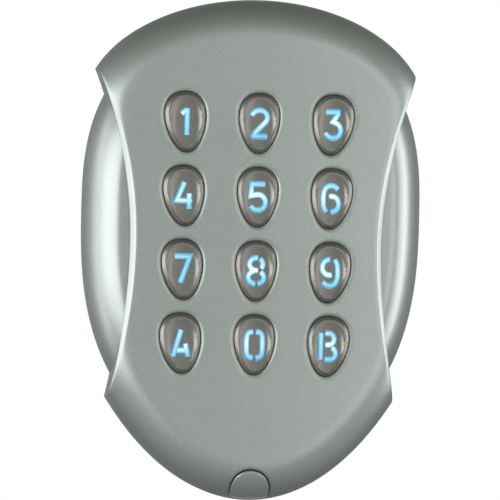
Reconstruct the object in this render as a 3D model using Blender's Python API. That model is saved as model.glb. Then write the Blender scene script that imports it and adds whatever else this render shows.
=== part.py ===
"""Backlit wall keypad: a waisted cast cover on an oval side shell, twelve lit keys, board and wall plate.

All sizes are millimetres. X runs to the right and Z up. Depth is the distance out from the wall, so a
point at depth d has y = -d. The origin is on the wall, at the centre of the back plate's rear face.
"""

import math

import bmesh
import bpy
from mathutils import Vector

METRES = 0.001

# Overall sizes
HEIGHT = 150.0
WIDTH = 102.0
FACE_DEPTH = 30.0

# Clearances
GAP = 0.3
RUNNING_GAP = 0.35
SCREW_GAP = 0.2
SWING_GAP = 1.1

# Front cover: a rolled pillow between a top and a bottom elliptic arc, waisted by an arc on each side
COVER_WALL = 2.5
COVER_RIM_DEPTH = 4.0
TOP_ARC_OVERHANG = 0.35
TOP_ARC_RISE = 33.6
BOTTOM_ARC_SPREAD = 18.4
BOTTOM_ARC_RISE = 139.6
WAIST_HALF_WIDTH = 37.7
WAIST_Z = 1.5
UPPER_WAIST_RADIUS = 137.0
LOWER_WAIST_RADIUS = 206.0
ROLL_WIDTH = 12.0
ROLL_HEIGHT = 16.0
ROLL_POWER = 2.2
ROLL_BLEND = 8.0
CROWN = 1.0
EDGE_BEVEL_WIDTH = 1.7
EDGE_BEVEL_DROP = 1.9
COVER_TOP = HEIGHT / 2
COVER_BOTTOM = -HEIGHT / 2
COVER_INNER_DEPTH = FACE_DEPTH - COVER_WALL
TOP_ARC_HALF_WIDTH = WIDTH / 2 + TOP_ARC_OVERHANG
BOTTOM_ARC_HALF_WIDTH = WIDTH / 2 + BOTTOM_ARC_SPREAD
TOP_ARC_Z = COVER_TOP - TOP_ARC_RISE
BOTTOM_ARC_Z = COVER_BOTTOM + BOTTOM_ARC_RISE

# Side shell: the oval body whose wings show on both sides of the cover
SHELL_WALL = 2.5
SHELL_Z = 11.0
SHELL_TOP_MARGIN = 4.0
SHELL_BOTTOM_MARGIN = 12.0
SHELL_TOP_POWER = 2.75
SHELL_BOTTOM_POWER = 2.59
SHELL_RIM_DEPTH = 1.0
SHELL_SIDE_DEPTH = 3.0
SHELL_STEP = 4.0
SHELL_ROLL_WIDTH = 11.0
WINDOW_GAP = 2.5
WINDOW_CORNER = 5.0
SHELL_HALF_WIDTH = WIDTH / 2
SHELL_FACE_DEPTH = FACE_DEPTH - SHELL_STEP
SHELL_TOP_RISE = COVER_TOP - SHELL_TOP_MARGIN - SHELL_Z
SHELL_BOTTOM_RISE = SHELL_Z - COVER_BOTTOM - SHELL_BOTTOM_MARGIN

# Keys: egg-shaped caps, wide end up, in three columns and four rows
KEY_ROWS = ("123", "456", "789", "A0B")
KEY_PITCH = 22.0
KEY_GRID_Z = 4.8
KEY_WIDTH = 11.8
KEY_HEIGHT = 17.8
KEY_EGG = 0.22
KEY_FULLNESS = 0.9
KEY_LEAN = math.radians(5.0)
KEY_PROUD = 0.9
KEY_TRAVEL = 1.2
KEY_RIM = 0.6
KEY_DISH_EDGE = 1.0
KEY_DISH = 0.45
KEY_ROOF = 1.5
KEY_WALL = 1.5
FLANGE_LIP = 0.8
FLANGE_THICKNESS = 1.5
WELL_SINK_WIDTH = 1.1
WELL_SINK_DEPTH = 1.1
KEY_TOP_DEPTH = FACE_DEPTH + KEY_PROUD
KEYPAD_HALF_WIDTH = KEY_PITCH + KEY_WIDTH / 2 + FLANGE_LIP
FLANGE_TOP_DEPTH = COVER_INNER_DEPTH - CROWN * (KEYPAD_HALF_WIDTH / WAIST_HALF_WIDTH) ** 2 - GAP
FLANGE_BOTTOM_DEPTH = FLANGE_TOP_DEPTH - FLANGE_THICKNESS

# Figures on the keys
FIGURE_WIDTH = 6.2
FIGURE_HEIGHT = 9.3
FIGURE_STROKE = 1.5
FIGURE_GAP = 0.12

# Keypad mat, circuit board and what is soldered on it
DOME_RADIUS = 4.2
DOME_TOP_RADIUS = 2.8
DOME_WALL = 0.7
DOME_RISE = 0.95
DOME_FOOT = 0.2
MAT_THICKNESS = 1.0
MAT_MARGIN = 1.0
MAT_CORNER = 4.0
BOARD_THICKNESS = 1.6
BOARD_MARGIN = 1.2
LED_WIDTH = 3.2
LED_HEIGHT = 1.6
LED_THICKNESS = 1.0
DOME_TOP_DEPTH = FLANGE_BOTTOM_DEPTH - KEY_TRAVEL - GAP / 2
MAT_TOP_DEPTH = DOME_TOP_DEPTH - DOME_RISE
MAT_BACK_DEPTH = MAT_TOP_DEPTH - MAT_THICKNESS
BOARD_FRONT_DEPTH = MAT_BACK_DEPTH - GAP
BOARD_BACK_DEPTH = BOARD_FRONT_DEPTH - BOARD_THICKNESS
SOLDER_GAP = 0.15
PLATE_THICKNESS = 2.0
RELAY_MARGIN = 1.25
RELAY_Z = 29.8
RELAY_WIDTH = 12.5
RELAY_HEIGHT = 15.5
RELAY_CLEARANCE = 3.0
TERMINAL_WIDTH = 30.0
TERMINAL_HEIGHT = 8.0
TERMINAL_TALL = 9.0
TERMINAL_MARGIN = 2.0
TERMINAL_WAYS = 6
TERMINAL_MOUTH = 3.0
TERMINAL_MOUTH_DEEP = 3.0
TERMINAL_SCREW_RADIUS = 1.4
TERMINAL_SCREW_SINK = 1.5
BUZZER_X = 18.0
BUZZER_Z = -10.0
BUZZER_RADIUS = 6.0
BUZZER_TALL = 6.5
CHIP_X = -18.0
CHIP_SIDE = 10.0
CHIP_TALL = 1.2
SWITCH_X = -22.0
SWITCH_Z = -22.0
SWITCH_SIDE = 6.0
SWITCH_TALL = 6.0
SWITCH_ROOF = 1.0
PLUNGER_RADIUS = 1.4
ROUNDING = 0.4

# Screws
COVER_SCREW_RADIUS = 1.4
COVER_SCREW_HEAD = 3.9
COVER_SCREW_HEAD_TALL = 1.8
COVER_POST_RADIUS = 3.0
COVER_POST_TOP_X = 16.0
COVER_POST_BOTTOM_X = 15.0
COVER_SCREW_GRIP = 3.4
BOARD_SCREW_RADIUS = 0.9
BOARD_SCREW_HEAD = 2.0
BOARD_SCREW_HEAD_TALL = 1.4
BOARD_BOSS_RADIUS = 2.1
BOARD_SCREW_GRIP = 2.6
LOCK_SCREW_RADIUS = 1.25
LOCK_SCREW_HEAD = 2.8
LOCK_SCREW_HEAD_TALL = 2.5
LOCK_SCREW_SOCKET = 1.3
LOCK_SOCKET_DEEP = 1.6
LOCK_SCREW_MARGIN = 6.2
LOCK_POST_RADIUS = 2.8
LOCK_POST_GAP = 0.8
LOCK_FLOOR = 3.0
LOCK_SCREW_Z = COVER_BOTTOM + LOCK_SCREW_MARGIN

# Screw cap: the half-moon plug over the lock screw
CAP_RADIUS = 5.85
CAP_MARGIN = 3.4
CAP_SINK = 0.15
CAP_BUCKET_WALL = 1.5
CAP_TALL = 10.0
CAP_STEM = 1.0
CAP_Z = COVER_BOTTOM + CAP_MARGIN
CAP_SEAT_DEPTH = FACE_DEPTH - CAP_TALL
LOCK_SEAT_DEPTH = CAP_SEAT_DEPTH - CAP_STEM - GAP - LOCK_SCREW_HEAD_TALL
LOCK_FLOOR_DEPTH = LOCK_SEAT_DEPTH - GAP
LOCK_POCKET_DEPTH = LOCK_FLOOR_DEPTH - LOCK_FLOOR
LOCK_POST_DEPTH = LOCK_POCKET_DEPTH - LOCK_POST_GAP

# Back plate, its hooks, cable hole and wall-screw slots
HOOK_X = 12.0
HOOK_WIDTH = 6.0
HOOK_THICKNESS = 2.0
HINGE_BAR_RADIUS = 1.5
HINGE_DEPTH = 5.6
HINGE_MARGIN = 10.0
HINGE_EAR_WIDTH = 2.4
HINGE_EAR_DEPTH = 14.0
HINGE_EAR_GAP = 2.5
SWING_LIMIT = math.radians(12.0)
CABLE_HOLE_Z = -22.0
CABLE_BORE_RADIUS = 5.0
GROMMET_WALL = 1.7
GROMMET_LIP = 2.3
GROMMET_TALL = 1.5
WALL_SCREW_X = 30.0
WALL_SCREW_Z = 33.0
WALL_SCREW_RADIUS = 2.2
TONGUE_HALF_WIDTH = 4.5
GASKET_THICKNESS = 0.7
GASKET_WIDTH = 3.0
TONGUE_THIN = 0.2
GROMMET_REST = 0.2
PLATE_INSET = SHELL_WALL + SWING_GAP
HINGE_Z = COVER_TOP - SHELL_TOP_MARGIN - HINGE_MARGIN

# Colours as linear red, green, blue with metallic and roughness
FINISHES = {
    "housing_paint": ((0.30, 0.33, 0.31), 0.75, 0.42),
    "key_metal": ((0.20, 0.19, 0.17), 0.85, 0.35),
    "legend_light": ((0.55, 0.88, 1.00), 0.0, 0.3),
    "led_body": ((0.85, 0.87, 0.85), 0.0, 0.4),
    "cap_rubber": ((0.27, 0.30, 0.28), 0.0, 0.55),
    "mat_silicone": ((0.62, 0.64, 0.62), 0.0, 0.6),
    "board_laminate": ((0.02, 0.16, 0.07), 0.0, 0.4),
    "relay_plastic": ((0.02, 0.09, 0.30), 0.0, 0.4),
    "terminal_plastic": ((0.03, 0.30, 0.12), 0.0, 0.45),
    "black_plastic": ((0.015, 0.015, 0.015), 0.0, 0.45),
    "plunger_plastic": ((0.55, 0.06, 0.04), 0.0, 0.4),
    "screw_steel": ((0.55, 0.55, 0.54), 1.0, 0.3),
    "plate_zinc": ((0.48, 0.49, 0.48), 0.9, 0.45),
    "seal_rubber": ((0.02, 0.02, 0.02), 0.0, 0.8),
}


# ---- Outlines: lists of (x, z) points, anticlockwise seen from the front ----

def circle(x, z, radius, sides):
    """A circle's points."""
    turns = [2 * math.pi * (i + 0.5) / sides for i in range(sides)]
    return [(x + radius * math.cos(t), z + radius * math.sin(t)) for t in turns]


def rectangle(x0, x1, z0, z1, corner=0.0):
    """A rectangle, with a chamfer at each corner if corner is set."""
    if corner == 0.0:
        return [(x0, z0), (x1, z0), (x1, z1), (x0, z1)]
    return [
        (x0 + corner, z0), (x1 - corner, z0), (x1, z0 + corner), (x1, z1 - corner),
        (x1 - corner, z1), (x0 + corner, z1), (x0, z1 - corner), (x0, z0 + corner),
    ]


def offset(points, distance):
    """The outline moved out by distance, or in where it is negative."""
    moved = []
    for i, point in enumerate(points):
        before = Vector(point) - Vector(points[i - 1])
        after = Vector(points[(i + 1) % len(points)]) - Vector(point)
        out_before = Vector((before.y, -before.x)).normalized()
        out_after = Vector((after.y, -after.x)).normalized()
        middle = (out_before + out_after).normalized()
        moved.append(tuple(Vector(point) + middle * (distance / middle.dot(out_after))))
    return moved


def egg(column, row, grow=0.0, sides=16):
    """A key's outline in its place: wide at the top, the side columns leaning towards the centre."""
    x, z = key_centre(column, row)
    lean = KEY_LEAN * column
    outline = []
    for i in range(sides):
        turn = 2 * math.pi * i / sides
        wide = math.copysign(abs(math.cos(turn)) ** KEY_FULLNESS, math.cos(turn))
        across = KEY_WIDTH / 2 * wide * (1 + KEY_EGG * math.sin(turn))
        up = KEY_HEIGHT / 2 * math.sin(turn)
        outline.append((x + across * math.cos(lean) + up * math.sin(lean),
                        z - across * math.sin(lean) + up * math.cos(lean)))
    return offset(outline, grow) if grow else outline


def shell_outline(inset=0.0, sides=48):
    """The oval that the side shell stands on, its upper and lower halves of different fullness."""
    outline = []
    for i in range(sides):
        turn = 2 * math.pi * i / sides
        rise, power = SHELL_TOP_RISE, SHELL_TOP_POWER
        if math.sin(turn) < 0:
            rise, power = -SHELL_BOTTOM_RISE, SHELL_BOTTOM_POWER
        outline.append((SHELL_HALF_WIDTH * math.cos(turn),
                        SHELL_Z + rise * abs(math.sin(turn)) ** (2 / power)))
    return offset(outline, -inset) if inset else outline


# ---- The cover's surface ----

def waist(z, inset):
    """Half the cover's width at a height, as its two side arcs set it."""
    radius = UPPER_WAIST_RADIUS if z > WAIST_Z else LOWER_WAIST_RADIUS
    return WAIST_HALF_WIDTH - inset + radius - math.sqrt(radius ** 2 - (z - WAIST_Z) ** 2)


def top_arc(x, inset):
    """The top arc's height above x."""
    share = min(abs(x) / (TOP_ARC_HALF_WIDTH - inset), 1.0)
    return TOP_ARC_Z + (TOP_ARC_RISE - inset) * math.sqrt(1 - share ** 2)


def bottom_arc(x, inset):
    """The bottom arc's height at x."""
    share = min(abs(x) / (BOTTOM_ARC_HALF_WIDTH - inset), 1.0)
    return BOTTOM_ARC_Z - (BOTTOM_ARC_RISE - inset) * math.sqrt(1 - share ** 2)


def horn(arc, end, inset):
    """The height at which an arc meets the waist, between the waist's middle and the cover's end."""
    low, high = WAIST_Z, end
    for _ in range(40):
        middle = (low + high) / 2
        inside = (arc(waist(middle, inset), inset) - middle) * (end - WAIST_Z) > 0
        low, high = (middle, high) if inside else (low, middle)
    return low


def ellipse_distance(x, z, centre, half_width, rise):
    """About how far inside an ellipse a point is."""
    size = math.hypot(x / half_width, (z - centre) / rise)
    slope = math.hypot(x / half_width ** 2, (z - centre) / rise ** 2) / size
    return (1 - size) / slope


def edge_distance(x, z, inset):
    """How far a point of the cover is from the rolled edge, the two arcs blended into one."""
    top = TOP_ARC_HALF_WIDTH - inset - abs(x)
    if z > TOP_ARC_Z:
        top = ellipse_distance(x, z, TOP_ARC_Z, TOP_ARC_HALF_WIDTH - inset, TOP_ARC_RISE - inset)
    bottom = ellipse_distance(x, z, BOTTOM_ARC_Z, BOTTOM_ARC_HALF_WIDTH - inset, BOTTOM_ARC_RISE - inset)
    share = min(max(0.5 + 0.5 * (bottom - top) / ROLL_BLEND, 0.0), 1.0)
    return bottom * (1 - share) + top * share - ROLL_BLEND * share * (1 - share)


def face_depth(x, z, inset=0.0):
    """The depth of the cover's surface, or of the surface a wall's thickness inside it."""
    width = ROLL_WIDTH - inset
    height = ROLL_HEIGHT - inset
    out = 1 - min(max(edge_distance(x, z, inset) / width, 0.0), 1.0)
    drop = height * (1 - (1 - out ** ROLL_POWER) ** (1 / ROLL_POWER))
    return FACE_DEPTH - inset - CROWN * (x / WAIST_HALF_WIDTH) ** 2 - drop


# ---- Making objects ----

def finish(name):
    """The material of that name, made the first time it is asked for."""
    if name in bpy.data.materials:
        return bpy.data.materials[name]
    colour, metallic, roughness = FINISHES[name]
    material = bpy.data.materials.new(name)
    material.use_nodes = True
    shader = material.node_tree.nodes["Principled BSDF"]
    shader.inputs["Base Color"].default_value = (*colour, 1.0)
    shader.inputs["Metallic"].default_value = metallic
    shader.inputs["Roughness"].default_value = roughness
    return material


def solid(name, points, faces, material=None, origin=(0.0, 0.0, 0.0)):
    """An object from points given as (x, depth, z) in millimetres. With no material it is a cutter."""
    mesh = bpy.data.meshes.new(name)
    places = [((x - origin[0]) * METRES, (origin[1] - d) * METRES, (z - origin[2]) * METRES)
              for x, d, z in points]
    mesh.from_pydata(places, [], faces)
    work = bmesh.new()
    work.from_mesh(mesh)
    bmesh.ops.recalc_face_normals(work, faces=work.faces)
    work.to_mesh(mesh)
    work.free()
    made = bpy.data.objects.new(name, mesh)
    made.location = (origin[0] * METRES, -origin[1] * METRES, origin[2] * METRES)
    bpy.context.scene.collection.objects.link(made)
    if material:
        mesh.materials.append(finish(material))
    else:
        made.hide_render = True
        made.display_type = "WIRE"
    return made


def loft(name, sections, material=None, origin=(0.0, 0.0, 0.0)):
    """A closed body through (outline, depth) sections that all have the same number of points."""
    points = [(x, depth, z) for outline, depth in sections for x, z in outline]
    count = len(sections[0][0])
    faces = [list(range(count)), list(range(len(points) - count, len(points)))]
    for level in range(len(sections) - 1):
        for i in range(count):
            here = level * count + i
            beside = level * count + (i + 1) % count
            faces.append([here, beside, beside + count, here + count])
    return solid(name, points, faces, material, origin)


def prism(name, outline, back, front, material=None, origin=(0.0, 0.0, 0.0)):
    """An outline carried from one depth to another."""
    return loft(name, [(outline, back), (outline, front)], material, origin)


def pin(name, x, z, steps, material=None, sides=12, origin=(0.0, 0.0, 0.0)):
    """A stepped round pin along the depth, from (radius, depth) steps."""
    return loft(name, [(circle(x, z, radius, sides), depth) for radius, depth in steps], material, origin)


def ring(name, x, z, profile, material, sides=20):
    """A closed (radius, depth) profile turned about an axis along the depth."""
    points = []
    for i in range(sides):
        turn = 2 * math.pi * i / sides
        points += [(x + r * math.cos(turn), d, z + r * math.sin(turn)) for r, d in profile]
    count = len(profile)
    faces = []
    for i in range(sides):
        for j in range(count):
            k = (j + 1) % count
            here, there = i * count, ((i + 1) % sides) * count
            faces.append([here + j, here + k, there + k, there + j])
    return solid(name, points, faces, material)


def combine(target, tool, operation="DIFFERENCE"):
    """Adds a Boolean modifier."""
    modifier = target.modifiers.new(tool.name, "BOOLEAN")
    modifier.operation = operation
    modifier.solver = "EXACT"
    modifier.object = tool


def join(name, parts):
    """Several cutters that don't touch, as one."""
    points = []
    faces = []
    for part in parts:
        start = len(points)
        points += [tuple(v.co) for v in part.data.vertices]
        faces += [[start + i for i in face.vertices] for face in part.data.polygons]
        bpy.data.objects.remove(part)
    mesh = bpy.data.meshes.new(name)
    mesh.from_pydata(points, [], faces)
    made = bpy.data.objects.new(name, mesh)
    made.hide_render = True
    made.display_type = "WIRE"
    bpy.context.scene.collection.objects.link(made)
    return made


# ---- Keys ----

def keys():
    """Each key's figure with its column (-1, 0, 1) and row."""
    return [(figure, column - 1, row) for row, figures in enumerate(KEY_ROWS)
            for column, figure in enumerate(figures)]


def key_centre(column, row):
    """Where a key stands on the face."""
    return column * KEY_PITCH, KEY_GRID_Z + (1.5 - row) * KEY_PITCH


def arc_points(x, z, half_width, half_height, start, end, steps):
    """Points along part of an ellipse, angles in degrees."""
    turns = [math.radians(start + (end - start) * i / steps) for i in range(steps + 1)]
    return [(x + half_width * math.cos(t), z + half_height * math.sin(t)) for t in turns]


def figure_strokes(figure):
    """The centre lines of a figure's strokes in a box from -1 to 1. Breaks keep the cap in one piece."""
    strokes = {
        "1": [[(-0.55, 0.6), (0.1, 0.92)], [(0.15, 1), (0.15, -1)]],
        "2": [arc_points(0, 0.45, 1, 0.55, 165, -40, 5) + [(-0.72, -0.85)], [(-1, -1), (1, -1)]],
        "3": [[(-0.9, 1), (0.9, 1)], [(0.72, 0.93), (0.0, 0.25)] + arc_points(0, -0.4, 1, 0.6, 70, -160, 5)],
        "4": [[(0.0, 1), (-0.95, -0.4), (1, -0.4)], [(0.65, 0.15), (0.65, -1)]],
        "5": [[(0.9, 1), (-0.8, 1), (-0.9, 0.1)] + arc_points(0, -0.4, 1, 0.6, 100, -150, 5)],
        "6": [[(0.85, 0.75), (0.2, 1), (-0.6, 0.9), (-1, 0.4), (-1, -0.5), (-0.65, -1)],
              arc_points(0.05, -0.4, 0.9, 0.6, 110, -95, 5)],
        "7": [[(-1, 1), (0.95, 1), (-0.25, -1)]],
        "8": [arc_points(0, 0.52, 0.85, 0.48, 75, 285, 5), arc_points(0, 0.52, 0.85, 0.48, -40, 55, 3),
              arc_points(0, -0.5, 1, 0.5, 110, 265, 4), arc_points(0, -0.5, 1, 0.5, -75, 55, 4)],
        "9": [[(-0.85, -0.75), (-0.2, -1), (0.6, -0.9), (1, -0.4), (1, 0.5), (0.65, 1)],
              arc_points(-0.05, 0.4, 0.9, 0.6, 85, 290, 5)],
        "A": [[(-0.95, -1), (0, 1)], [(0.6, -0.05), (0.95, -1)], [(-0.5, -0.55), (0.6, -0.55)]],
        "0": [[(-0.2, 1), (-0.75, 0.9), (-1, 0.55), (-1, -0.55), (-0.75, -0.9), (-0.2, -1)],
              [(0.2, -1), (0.75, -0.9), (1, -0.55), (1, 0.55), (0.75, 0.9), (0.2, 1)]],
        "B": [[(-0.9, -1), (-0.9, 1)], [(-0.35, 1), (0.4, 0.95), (0.8, 0.6), (0.3, 0.15), (-0.3, 0.12)],
              [(0.45, -0.12), (1, -0.5), (0.5, -0.95), (-0.35, -1)]],
    }
    return strokes[figure]


def stroke_outline(line, width, extend):
    """The outline of a flat-ended stroke of a width about a centre line, both ends carried on by extend."""
    left = []
    right = []
    start = Vector(line[0]) + (Vector(line[0]) - Vector(line[1])).normalized() * extend
    end = Vector(line[-1]) + (Vector(line[-1]) - Vector(line[-2])).normalized() * extend
    line = [tuple(start)] + line[1:-1] + [tuple(end)]
    for i, point in enumerate(line):
        before = Vector(line[i]) - Vector(line[max(i - 1, 0)])
        after = Vector(line[min(i + 1, len(line) - 1)]) - Vector(line[i])
        before = before if before.length else after
        after = after if after.length else before
        side_before = Vector((before.y, -before.x)).normalized()
        side_after = Vector((after.y, -after.x)).normalized()
        side = (side_before + side_after).normalized()
        reach = width / 2 / max(side.dot(side_after), 0.5)
        right.append(tuple(Vector(point) + side * reach))
        left.append(tuple(Vector(point) - side * reach))
    return right + left[::-1]


def figure_outlines(figure, column, row, grow=0.0):
    """The outlines of a key's figure in place on the face, each stroke grown all round."""
    x, z = key_centre(column, row)
    half_width = (FIGURE_WIDTH - FIGURE_STROKE) / 2
    half_height = (FIGURE_HEIGHT - FIGURE_STROKE) / 2
    outlines = []
    for line in figure_strokes(figure):
        placed = [(x + a * half_width, z + b * half_height) for a, b in line]
        outlines.append(stroke_outline(placed, FIGURE_STROKE + 2 * grow, grow))
    return outlines


def make_key(figure, column, row):
    """A key's dished cap with slots for its figure, and the light guide whose raised figure fills them."""
    x, z = key_centre(column, row)
    origin = (x, FLANGE_BOTTOM_DEPTH, z)
    body = egg(column, row)
    floor_depth = KEY_TOP_DEPTH - KEY_DISH
    roof_depth = floor_depth - KEY_ROOF
    cap = loft("key_" + figure, [
        (offset(body, FLANGE_LIP), FLANGE_BOTTOM_DEPTH),
        (offset(body, FLANGE_LIP), FLANGE_TOP_DEPTH),
        (body, FLANGE_TOP_DEPTH),
        (body, KEY_TOP_DEPTH - KEY_RIM),
        (offset(body, -KEY_RIM), KEY_TOP_DEPTH),
        (offset(body, -KEY_RIM - KEY_DISH_EDGE), floor_depth),
    ], "key_metal", origin)
    pocket = offset(body, -KEY_WALL)
    guide = offset(body, -KEY_WALL - GAP / 2)
    combine(cap, prism("pocket_" + figure, pocket, FLANGE_BOTTOM_DEPTH - 1, roof_depth))
    legend = prism("legend_" + figure, guide, FLANGE_BOTTOM_DEPTH, roof_depth - GAP / 2, "legend_light",
                   origin)
    slots = figure_outlines(figure, column, row, FIGURE_GAP)
    fills = figure_outlines(figure, column, row)
    for slot, fill in zip(slots, fills):
        combine(cap, prism("slot_" + figure, slot, roof_depth - 1, KEY_TOP_DEPTH))
        combine(legend, prism("raised_" + figure, fill, roof_depth - 1, floor_depth), "UNION")


# ---- Cover ----

def cover_solid(name, inset, back, columns, rows, material=None):
    """The cover's closed outer body, or the hollow a wall's thickness inside it."""
    low = horn(bottom_arc, COVER_BOTTOM, inset)
    high = horn(top_arc, COVER_TOP, inset)
    low_half = waist(low, inset)
    high_half = waist(high, inset)
    points = []
    for r in range(rows + 1):
        up = (1 - math.cos(math.pi * r / rows)) / 2
        side_z = low + (high - low) * up
        half = waist(side_z, inset)
        taper = max(math.sin(math.pi * up), 0.0) ** 0.5
        bevel = 0.15 + EDGE_BEVEL_WIDTH * taper
        for c in range(columns + 3):
            if c in (0, columns + 2):
                across = -1.0 if c == 0 else 1.0
            else:
                across = (1 - bevel / half) * (2 * (c - 1) / columns - 1)
            bottom = bottom_arc(across * low_half, inset)
            top = top_arc(across * high_half, inset)
            straight = (1 - up) * across * low_half + up * across * high_half
            x = across * half + (1 - up) * across * low_half + up * across * high_half - straight
            z = side_z + (1 - up) * (bottom - low) + up * (top - high)
            depth = face_depth(x, z, inset)
            if c in (0, columns + 2):
                depth -= EDGE_BEVEL_DROP * taper
            points.append((x, depth, z))
    wide = columns + 3
    faces = []
    for r in range(rows):
        for c in range(wide - 1):
            here = r * wide + c
            faces.append([here, here + 1, here + wide + 1, here + wide])
    rim = list(range(wide))
    rim += [r * wide + wide - 1 for r in range(1, rows + 1)]
    rim += [rows * wide + c for c in range(wide - 2, -1, -1)]
    rim += [r * wide for r in range(rows - 1, 0, -1)]
    start = len(points)
    points += [(points[i][0], back, points[i][2]) for i in rim]
    for i in range(len(rim)):
        j = (i + 1) % len(rim)
        faces.append([rim[j], rim[i], start + i, start + j])
    faces.append(list(range(start, len(points))))
    return solid(name, points, faces, material)


def cap_outline(grow):
    """The round outline whose upper part shows as the half-moon screw cap."""
    return circle(0.0, CAP_Z, CAP_RADIUS + grow, 24)


def board_boss_places():
    """Between the columns, above the second and below the third row."""
    return [(side * KEY_PITCH / 2, KEY_GRID_Z + up * KEY_PITCH) for side in (-1, 1) for up in (1, -1)]


def cover_post_places():
    """The cover posts stand above and below the board, in holes in the side shell's face."""
    above = board_top() + GAP + COVER_SCREW_HEAD
    below = board_bottom() - GAP - COVER_SCREW_HEAD
    return [(-COVER_POST_TOP_X, above), (COVER_POST_TOP_X, above),
            (-COVER_POST_BOTTOM_X, below), (COVER_POST_BOTTOM_X, below)]


def screw_hole(x, z, radius, mouth, grip):
    """A cutter for the blind hole that a screw of a radius and grip goes into."""
    return pin("hole", x, z, [(radius + SCREW_GAP, mouth - 1), (radius + SCREW_GAP, mouth + grip + GAP)])


def make_cover():
    """The waisted cover: hollow, cut to sit on the shell, with wells, posts, bosses and screw pocket."""
    cover = cover_solid("front_cover", 0.0, COVER_RIM_DEPTH, 12, 20, "housing_paint")
    combine(cover, cover_solid("cover_hollow", COVER_WALL, COVER_RIM_DEPTH - 1, 8, 14))
    combine(cover, shell_solid("shell_clearance", -GAP, -2.0, 48, 6))
    post_back = SHELL_FACE_DEPTH - SHELL_WALL - GAP
    boss_back = BOARD_FRONT_DEPTH + GAP
    root = COVER_INNER_DEPTH - CROWN + COVER_WALL / 2
    posts = [pin("post", x, z, [(COVER_POST_RADIUS, post_back), (COVER_POST_RADIUS, root)], sides=10)
             for x, z in cover_post_places()]
    bosses = [pin("boss", x, z, [(BOARD_BOSS_RADIUS, boss_back), (BOARD_BOSS_RADIUS, root)], sides=10)
              for x, z in board_boss_places()]
    bucket = prism("bucket", cap_outline(GAP + CAP_BUCKET_WALL), LOCK_POCKET_DEPTH, FACE_DEPTH)
    combine(bucket, cover_solid("bucket_limit", COVER_WALL / 2, COVER_RIM_DEPTH, 8, 20), "INTERSECT")
    combine(cover, join("cover_posts", posts + bosses), "UNION")
    combine(cover, bucket, "UNION")
    holes = [screw_hole(*place, COVER_SCREW_RADIUS, post_back, COVER_SCREW_GRIP) for place in cover_post_places()]
    holes += [screw_hole(*place, BOARD_SCREW_RADIUS, boss_back, BOARD_SCREW_GRIP)
              for place in board_boss_places()]
    shank = LOCK_SCREW_RADIUS + RUNNING_GAP
    head = LOCK_SCREW_HEAD + RUNNING_GAP
    holes.append(pin("hole", 0.0, LOCK_SCREW_Z, [(shank, LOCK_POCKET_DEPTH - 1), (shank, LOCK_FLOOR_DEPTH),
                                                 (head, LOCK_FLOOR_DEPTH), (head, CAP_SEAT_DEPTH + 1)]))
    combine(cover, join("cover_holes", holes))
    combine(cover, prism("cap_recess", cap_outline(GAP), CAP_SEAT_DEPTH, FACE_DEPTH + 3))
    wells = []
    for _, column, row in keys():
        hole = egg(column, row, RUNNING_GAP)
        sink = FACE_DEPTH - WELL_SINK_DEPTH
        wells.append(loft("well", [
            (hole, COVER_INNER_DEPTH - CROWN - 1), (hole, sink),
            (offset(hole, WELL_SINK_WIDTH), FACE_DEPTH), (offset(hole, WELL_SINK_WIDTH), FACE_DEPTH + 1)]))
    combine(cover, join("key_wells", wells))


def make_screw_cap():
    """The half-moon plug: a disc that follows the cover's rolled edge, on a short stem."""
    origin = (0.0, CAP_SEAT_DEPTH, CAP_Z)
    cap = prism("screw_cap", cap_outline(0.0), CAP_SEAT_DEPTH + GAP, FACE_DEPTH + 2, "cap_rubber", origin)
    combine(cap, cover_solid("cap_limit", CAP_SINK, COVER_RIM_DEPTH, 8, 24), "INTERSECT")
    stem = pin("cap_stem", 0.0, LOCK_SCREW_Z, [(LOCK_SCREW_HEAD, CAP_SEAT_DEPTH - CAP_STEM),
                                               (LOCK_SCREW_HEAD, CAP_SEAT_DEPTH + 1)])
    combine(cap, stem, "UNION")


# ---- Side shell ----

def shell_solid(name, inset, back, sides, steps, material=None):
    """The shell's closed outer body, or the hollow a wall's thickness inside it."""
    front = SHELL_FACE_DEPTH - inset
    sections = [(shell_outline(inset, sides), back)]
    for i in range(steps + 1):
        turn = math.pi / 2 * i / steps
        inward = inset + (SHELL_ROLL_WIDTH - inset) * (1 - math.cos(turn))
        depth = SHELL_SIDE_DEPTH + (front - SHELL_SIDE_DEPTH) * math.sin(turn)
        sections.append((shell_outline(inward, sides), depth))
    return loft(name, sections, material)


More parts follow.
